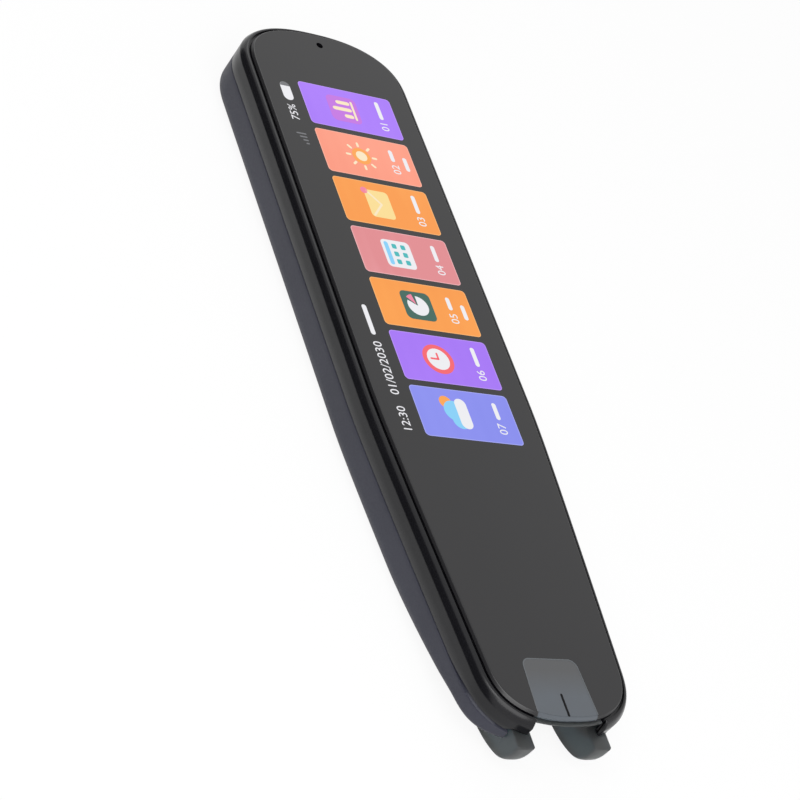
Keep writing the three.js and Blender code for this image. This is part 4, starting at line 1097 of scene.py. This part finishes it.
def make_port(shell_metal, tongue_plastic, gilt):
    """Drawn shell with a rolled mouth, its tongue with a round nose, and a row of contacts on each face."""
    width, _, height = PORT_HIGH - PORT_LOW
    rear, mouth = PORT_LOW[1], PORT_HIGH[1]
    soft = PORT_WALL / 2
    stations = [(0.0, rear), (0.0, mouth - soft), (soft * 0.3, mouth - soft * 0.3), (soft, mouth),
                (soft * 1.7, mouth - soft * 0.3), (PORT_WALL, mouth - soft), (PORT_WALL, rear + PORT_WALL)]
    rings = [(obround(width - 2 * inset, height - 2 * inset, HOLE_STEPS, 0.02) + (0, PORT_MID_Z), y)
             for inset, y in stations]
    add_piece("port_mouth", [skin(rings, 1)], "casing", shell_metal, "port_metal", "port_shell")
    broad, _, tall = TONGUE_HIGH - TONGUE_LOW
    foot_y, nose = rear + PORT_WALL, TONGUE_HIGH[1]
    rings = []
    for y, inset in [(foot_y, 0), (nose - 0.3, 0), (nose - 0.1, 0.08), (nose, 0.2)]:
        loop = rounded_loop(broad - 2 * inset, BLADE_THICKNESS - 2 * inset, 0.12, 5)
        rings.append((loop + (0, PORT_MID_Z), y))
    root = prism(rounded_loop(broad, tall, 0.35, 6) + (0, PORT_MID_Z), 1, foot_y, foot_y + 1.2)
    add_piece("port_blade", [skin(rings, 1), root], "casing", tongue_plastic, "port_plastic", "port_tongue")
    strips = []
    for z in (PORT_MID_Z - BLADE_THICKNESS / 2, PORT_MID_Z + BLADE_THICKNESS / 2):
        for x in (np.arange(CONTACTS) - (CONTACTS - 1) / 2) * CONTACT_PITCH:
            strips.append(prism(rounded_loop(0.26, 3.2, 0.05, 3) + (x, nose - 2.2), 2, z - 0.03, z + 0.03))
    add_piece("port_contacts", strips, "casing", gilt, "mic_metal")


# Rear camera
def turned(profile, centre, ends="fan"):
    """Profile of radius and height carried round an upright axis."""
    return skin([(disc(radius, 96) + centre, z) for radius, z in profile], 2, ends)


def make_rear_window(pane, ring_metal, lens):
    """Round pane with a bevelled edge, and the lens behind a thin turned ring."""
    centre = (WINDOW_LOW + WINDOW_HIGH)[:2] / 2
    low, high = WINDOW_LOW[2], WINDOW_HIGH[2]
    radius = (WINDOW_HIGH[0] - WINDOW_LOW[0]) / 2
    edge = [(radius - 0.2, high), (radius, high - 0.05), (radius, low + 0.18), (radius - 0.05, low + 0.07),
            (radius - 0.18, low), (2.1, low), (2.0, low + 0.06), (1.0, low + 0.06)]
    add_piece("rear_window", [turned(edge, centre)], "casing", pane, "lens_glass", "rear_camera_window")
    ring = [(2.02, low + 0.1), (2.02, low - 0.05), (1.85, low - 0.08), (1.7, low - 0.03), (1.62, low + 0.1)]
    add_piece("rear_lens_ring", [turned(ring, centre, "loop")], "casing", ring_metal, "port_metal")
    dome = [(1.66, low + 0.12)]
    dome += [(1.62 * math.cos(a), low + 0.03 - 0.1 * math.sin(a)) for a in np.linspace(0, 1.4, 8)]
    add_piece("rear_lens", [turned(dome, centre)], "casing", lens, "lens_glass")


# Nib springs
SPRING_TURNS = 7.0
SPRING_WIRE = 0.36


def make_spring(name, node, low, high, material):
    """Closed-end coil: radius (cos a, sin a) round Y, its pitch easing to nothing at both ends."""
    radius = (high[0] - low[0] - SPRING_WIRE) / 2
    share = np.linspace(0, 1, int(SPRING_TURNS * 28))[:, None]
    angle = share * SPRING_TURNS * 2 * math.pi
    rise = share - 0.12 * np.sin(2 * math.pi * share)
    centre = (low + high) / 2
    wire = SPRING_WIRE / 2
    out, along = disc(wire, 8).T
    rings = np.stack([
        centre[0] + np.cos(angle) * (radius + out),
        low[1] + wire + (high[1] - low[1] - 2 * wire) * rise + along,
        centre[2] + np.sin(angle) * (radius + out)], -1)
    spring = add_piece(name, [loft(rings)], "casing", material, "spring_steel", node)
    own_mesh(spring)


# Camera at the photograph's viewing angle: a place, a heading from +Y towards +X, a pitch and a roll
CAMERA_PLACE = (-219.0, -210.3, 235.6)
CAMERA_HEADING = 46.54
CAMERA_PITCH = 37.99
CAMERA_ROLL = 39.87
CAMERA_LENS = 99.0


def make_camera():
    """Camera that looks along its heading, down by its pitch, and turned about its axis by its roll."""
    heading, pitch, roll = (math.radians(a) for a in (CAMERA_HEADING, CAMERA_PITCH, CAMERA_ROLL))
    forward = Vector((math.sin(heading) * math.cos(pitch), math.cos(heading) * math.cos(pitch),
                      -math.sin(pitch)))
    level_right = Vector((math.cos(heading), -math.sin(heading), 0))
    level_up = level_right.cross(forward)
    right = level_right * math.cos(roll) + level_up * math.sin(roll)
    up = right.cross(forward)
    data = bpy.data.cameras.new("photo_camera")
    data.lens = CAMERA_LENS
    data.sensor_width = 36.0
    data.clip_start = 0.01
    camera = in_scene("photo_camera", data)
    turn = Matrix((right, up, -forward)).transposed().to_4x4()
    camera.matrix_world = Matrix.Translation(Vector(CAMERA_PLACE) * MM) @ turn
    bpy.context.scene.camera = camera


# Studio
AMBIENT = 0.36
FLOOR_HALF = 3000.0
FLOOR_Z = -0.05


def seen_by(owner, *kinds):
    """Light Path's outputs, and the largest of those for the given kinds of ray."""
    rays = add(owner, "LightPath").outputs
    seen = rays[kinds[0]]
    for kind in kinds[1:]:
        seen = add(owner, "Math", {0: seen, 1: rays[kind]}, operation="MAXIMUM").outputs[0]
    return rays, seen


def make_world():
    """White for whatever is seen, mirrored or refracted, and a plain ambient level for the rest."""
    world = emptied(bpy.data.worlds.new("studio"))
    bpy.context.scene.world = world
    _, seen = seen_by(world, "Is Camera Ray", "Is Glossy Ray", "Is Transmission Ray")
    strength = add(world, "MapRange", {"Value": seen, "To Min": AMBIENT, "To Max": 1.0})
    background = add(world, "Background", {
        "Color": (1, 1, 1, 1), "Strength": strength.outputs["Result"]})
    add(world, "OutputWorld", {"Surface": background.outputs["Background"]})


def make_card(name, material, loop):
    """Flat card with the given corners in millimetres, which is no part of the object."""
    card = in_scene(name, new_mesh(name, [(np.array(loop, float), [[0, 1, 2, 3]])]))
    card.data.materials.append(material)
    return card


def make_floor():
    """White sweep under the part; what the camera sees of it is mostly its own white, plus the shadow."""
    material = new_material("white_card")
    rays, seen = seen_by(material, "Is Camera Ray", "Is Transmission Ray")
    mirrored = add(material, "Math", {0: rays["Is Glossy Ray"], 1: 0.4}, operation="MULTIPLY")
    share = add(material, "Math", {0: seen, 1: 0.9, 2: mirrored.outputs[0]},
                operation="MULTIPLY_ADD", use_clamp=True)
    paper = add(material, "BsdfDiffuse", {"Color": linear("#f4f4f4")})
    white = add(material, "Emission", {"Color": (1, 1, 1, 1), "Strength": 1.0})
    mix = add(material, "MixShader", {
        0: share.outputs[0], 1: paper.outputs["BSDF"], 2: white.outputs["Emission"]})
    add(material, "OutputMaterial", {"Surface": mix.outputs["Shader"]})
    make_card("floor", material, [(x * FLOOR_HALF, y * FLOOR_HALF, FLOOR_Z)
                                  for x, y in ((-1, -1), (1, -1), (1, 1), (-1, 1))])


def make_flag(name, loop):
    """Dark card with the given corners that only reflections see: it keeps the bevel dark."""
    material = new_material("dark_card")
    card = add(material, "BsdfDiffuse", {"Color": linear("#303030")})
    add(material, "OutputMaterial", {"Surface": card.outputs["BSDF"]})
    flag = make_card(name, material, loop)
    flag.visible_camera = False
    flag.visible_diffuse = False
    flag.visible_shadow = False
    flag.visible_transmission = False


def add_lamp(name, place, aim, size, power):
    """Square soft box at a place, turned to its aim, both in millimetres; power in watts."""
    data = bpy.data.lights.new(name, "AREA")
    data.size = size * MM
    data.energy = power
    lamp = in_scene(name, data)
    lamp.location = Vector(place) * MM
    lamp.rotation_euler = (Vector(aim) * MM - lamp.location).to_track_quat("-Z", "Y").to_euler()


def repaint(finishes):
    """Gives each CAD node the finish of its slot in the record."""
    for row in frame["record"]["subparts"]:
        node = frame["nodes"][row["node"]]
        node.data.materials.clear()
        node.data.materials.append(finishes[row["material_slot"]])


scene = bpy.context.scene
scene.view_settings.view_transform = "Standard"
make_camera()
make_world()
make_floor()
make_flag("leaning_card", [(-31, -86, 0), (-34, 120, 0), (-534, 900, 260), (-534, -170, 260)])
add_lamp("key_light", (-250, -500, 600), (0, 0, 0), 800, 6.0)
add_lamp("fill_light", (-60, 620, 520), (0, 0, 0), 500, 1.2)
add_lamp("edge_light", (-470, -110, 540), (0, -60, 8), 300, 0.9)

# Finishes, and what each gives the eye. Moulded ABS, acetal, nylon and liquid crystal polymer come from
# a spark-eroded tool: soft, even, fine-grained. Foam, tape and silicone rubber are dull and slightly
# porous, and moulded epoxy and fired ceramic are faintly speckled. Rolled and pressed steel has fine
# streaks, plating and tin are brighter and smoother, and the foil pouch is softly clouded.
cover_plastic = moulded("moulded_abs", "#2f303b", "#343540", 0.35, 0.01, 0.42, 0.55, 0.35)
frame_coat = moulded("satin_black_coating", "#111114", "#141417", 0.25, 0.002, 0.2, 0.26, 0.3)
key_coat = moulded("satin_black_key", "#141416", "#17171a", 0.25, 0.004, 0.3, 0.38, 0.4)
glass = black_glass()
nib_plastic = smoky_nib()
steel = metal("bright_stainless_steel", "#a8aaac", "#c2c4c6", 0.15, (1, 0.1, 1), 0.22, 0.34)
gilt = metal("gold_flash", "#c9a24a", "#dcb75f", 0.1, (1, 0.3, 1), 0.18, 0.28)
lens = coated_lens("coated_optical_glass", "#05060a", "#2a2350")
black_box = moulded("moulded_black_nylon", "#121214", "#17171a", 0.3, 0.01, 0.45, 0.6)
FINISHES = {
    "matte_cover": cover_plastic,
    "satin_frame": frame_coat,
    "glass_black": glass,
    "adhesive": moulded("black_foam_tape", "#0c0c0d", "#141415", 0.2, 0.03, 0.8, 0.95),
    "touch_film": striped("clear_sensor_film", "#22262a", "#2b3035", 6.28, 0.1, 0.16, "Y"),
    "lcd": striped("display_panel_glass", "#0c0d0f", "#121417", 3.14, 0.08, 0.14),
    "tray_metal": metal("pressed_bright_steel", "#b4b6b9", "#c6c8ca", 0.3, (1, 0.05, 1), 0.25, 0.35),
    "backlight": moulded("white_light_guide", "#e2e5e8", "#ecedf0", 0.5, 0.004, 0.35, 0.5),
    "flex": striped("polyimide_film", "#7a3d0f", "#a8622a", 2.51, 0.3, 0.42),
    "chassis": metal("rolled_steel_sheet", "#8f9194", "#a3a5a8", 0.25, (1, 0.04, 1), 0.3, 0.45),
    "screw_steel": metal("nickel_plated_steel", "#b2b3b4", "#c4c5c6", 0.1, (1, 1, 0.2), 0.18, 0.28),
    "board": circuit_board("green_solder_mask", "#0f3d22", "#1d5a35", 0.8),
    "chip": moulded("black_epoxy_package", "#17181a", "#1e1f21", 0.15, 0.006, 0.5, 0.65),
    "shield": metal("tinned_steel_can", "#bfc1c2", "#cfd0d1", 0.6, (1, 0.3, 1), 0.2, 0.32),
    "tape": moulded("white_double_sided_tape", "#dedfda", "#e8e8e4", 0.4, 0.02, 0.7, 0.85),
    "cell": metal("laminated_foil_pouch", "#a9adb4", "#bcc0c6", 1.2, (1, 1, 1), 0.3, 0.45),
    "port_metal": steel,
    "port_plastic": moulded("moulded_liquid_crystal_polymer", "#101011", "#161617", 0.2, 0.005, 0.4, 0.5),
    "mic_metal": gilt,
    "boot_rubber": moulded("moulded_silicone_rubber", "#0e0e0f", "#131314", 0.3, 0.01, 0.75, 0.9),
    "ceramic": moulded("fired_ceramic", "#c9c5ba", "#d8d4ca", 0.12, 0.006, 0.45, 0.6),
    "mesh_cloth": woven("woven_acoustic_mesh", "#060606", "#2c2c2e", 1.57, 0.05),
    "speaker_plastic": black_box,
    "camera_plastic": black_box,
    "lens_glass": lens,
    "nib_clear": nib_plastic,
    "guide_plastic": moulded("moulded_acetal", "#1e1f23", "#25262a", 0.4, 0.01, 0.4, 0.5),
    "spring_steel": steel,
    "switch_plastic": black_box,
    "plunger_plastic": moulded("ivory_acetal", "#cfc9b8", "#dcd6c6", 0.4, 0.006, 0.35, 0.45),
    "white_board": circuit_board("white_solder_mask", "#d6d8da", "#e4e6e8", 0.8),
    "led": moulded("phosphor_silicone", "#e8dc9a", "#f4ebb6", 0.1, 0.01, 0.35, 0.5),
    "button_satin": key_coat,
}
repaint(FINISHES)

make_back_cover(cover_plastic)
make_frame(frame_coat)
make_glass(glass, grey_pane())
make_key(key_coat)
make_nib(nib_plastic)
TILE_COLOURS = [
    ("violet", "#a26ff4", "#9c69f0", "#b88ff8"),
    ("salmon", "#f7967a", "#f38e72", "#fbb09a"),
    ("amber", "#f69b38", "#f2912c", "#fbb365"),
    ("blush", "#e4959a", "#d98085", "#efb0b4"),
    ("orange", "#f59831", "#f19028", "#fbb262"),
    ("purple", "#9f6af1", "#9964ed", "#b58cf6"),
    ("periwinkle", "#8086ea", "#7a80e6", "#9ea3f2"),
]
MARK_COLOURS = {
    "white": "#e6e6ea",
    "cream": "#f2e0bc",
    "orchid": "#bc68da",
    "amber": "#f59c3a",
    "butter": "#f3d68a",
    "rose": "#ea7a9a",
    "teal": "#2bb0b2",
    "forest": "#1a5648",
    "coral": "#ee5560",
    "sky": "#7cc8f0",
    "grey": "#68696d",
}
make_tiles(TILE_COLOURS)
make_marks(MARK_COLOURS)
make_sight(printed_line("glass_window_edge", "#54585c", 0.5), printed_line("black_ink", "#040405", 0.12))
make_port(steel, FINISHES["port_plastic"], gilt)
make_rear_window(glass, steel, lens)
make_spring("left_coil", "left_nib_spring", LEFT_SPRING_LOW, LEFT_SPRING_HIGH, steel)
make_spring("right_coil", "right_nib_spring", RIGHT_SPRING_LOW, RIGHT_SPRING_HIGH, steel)
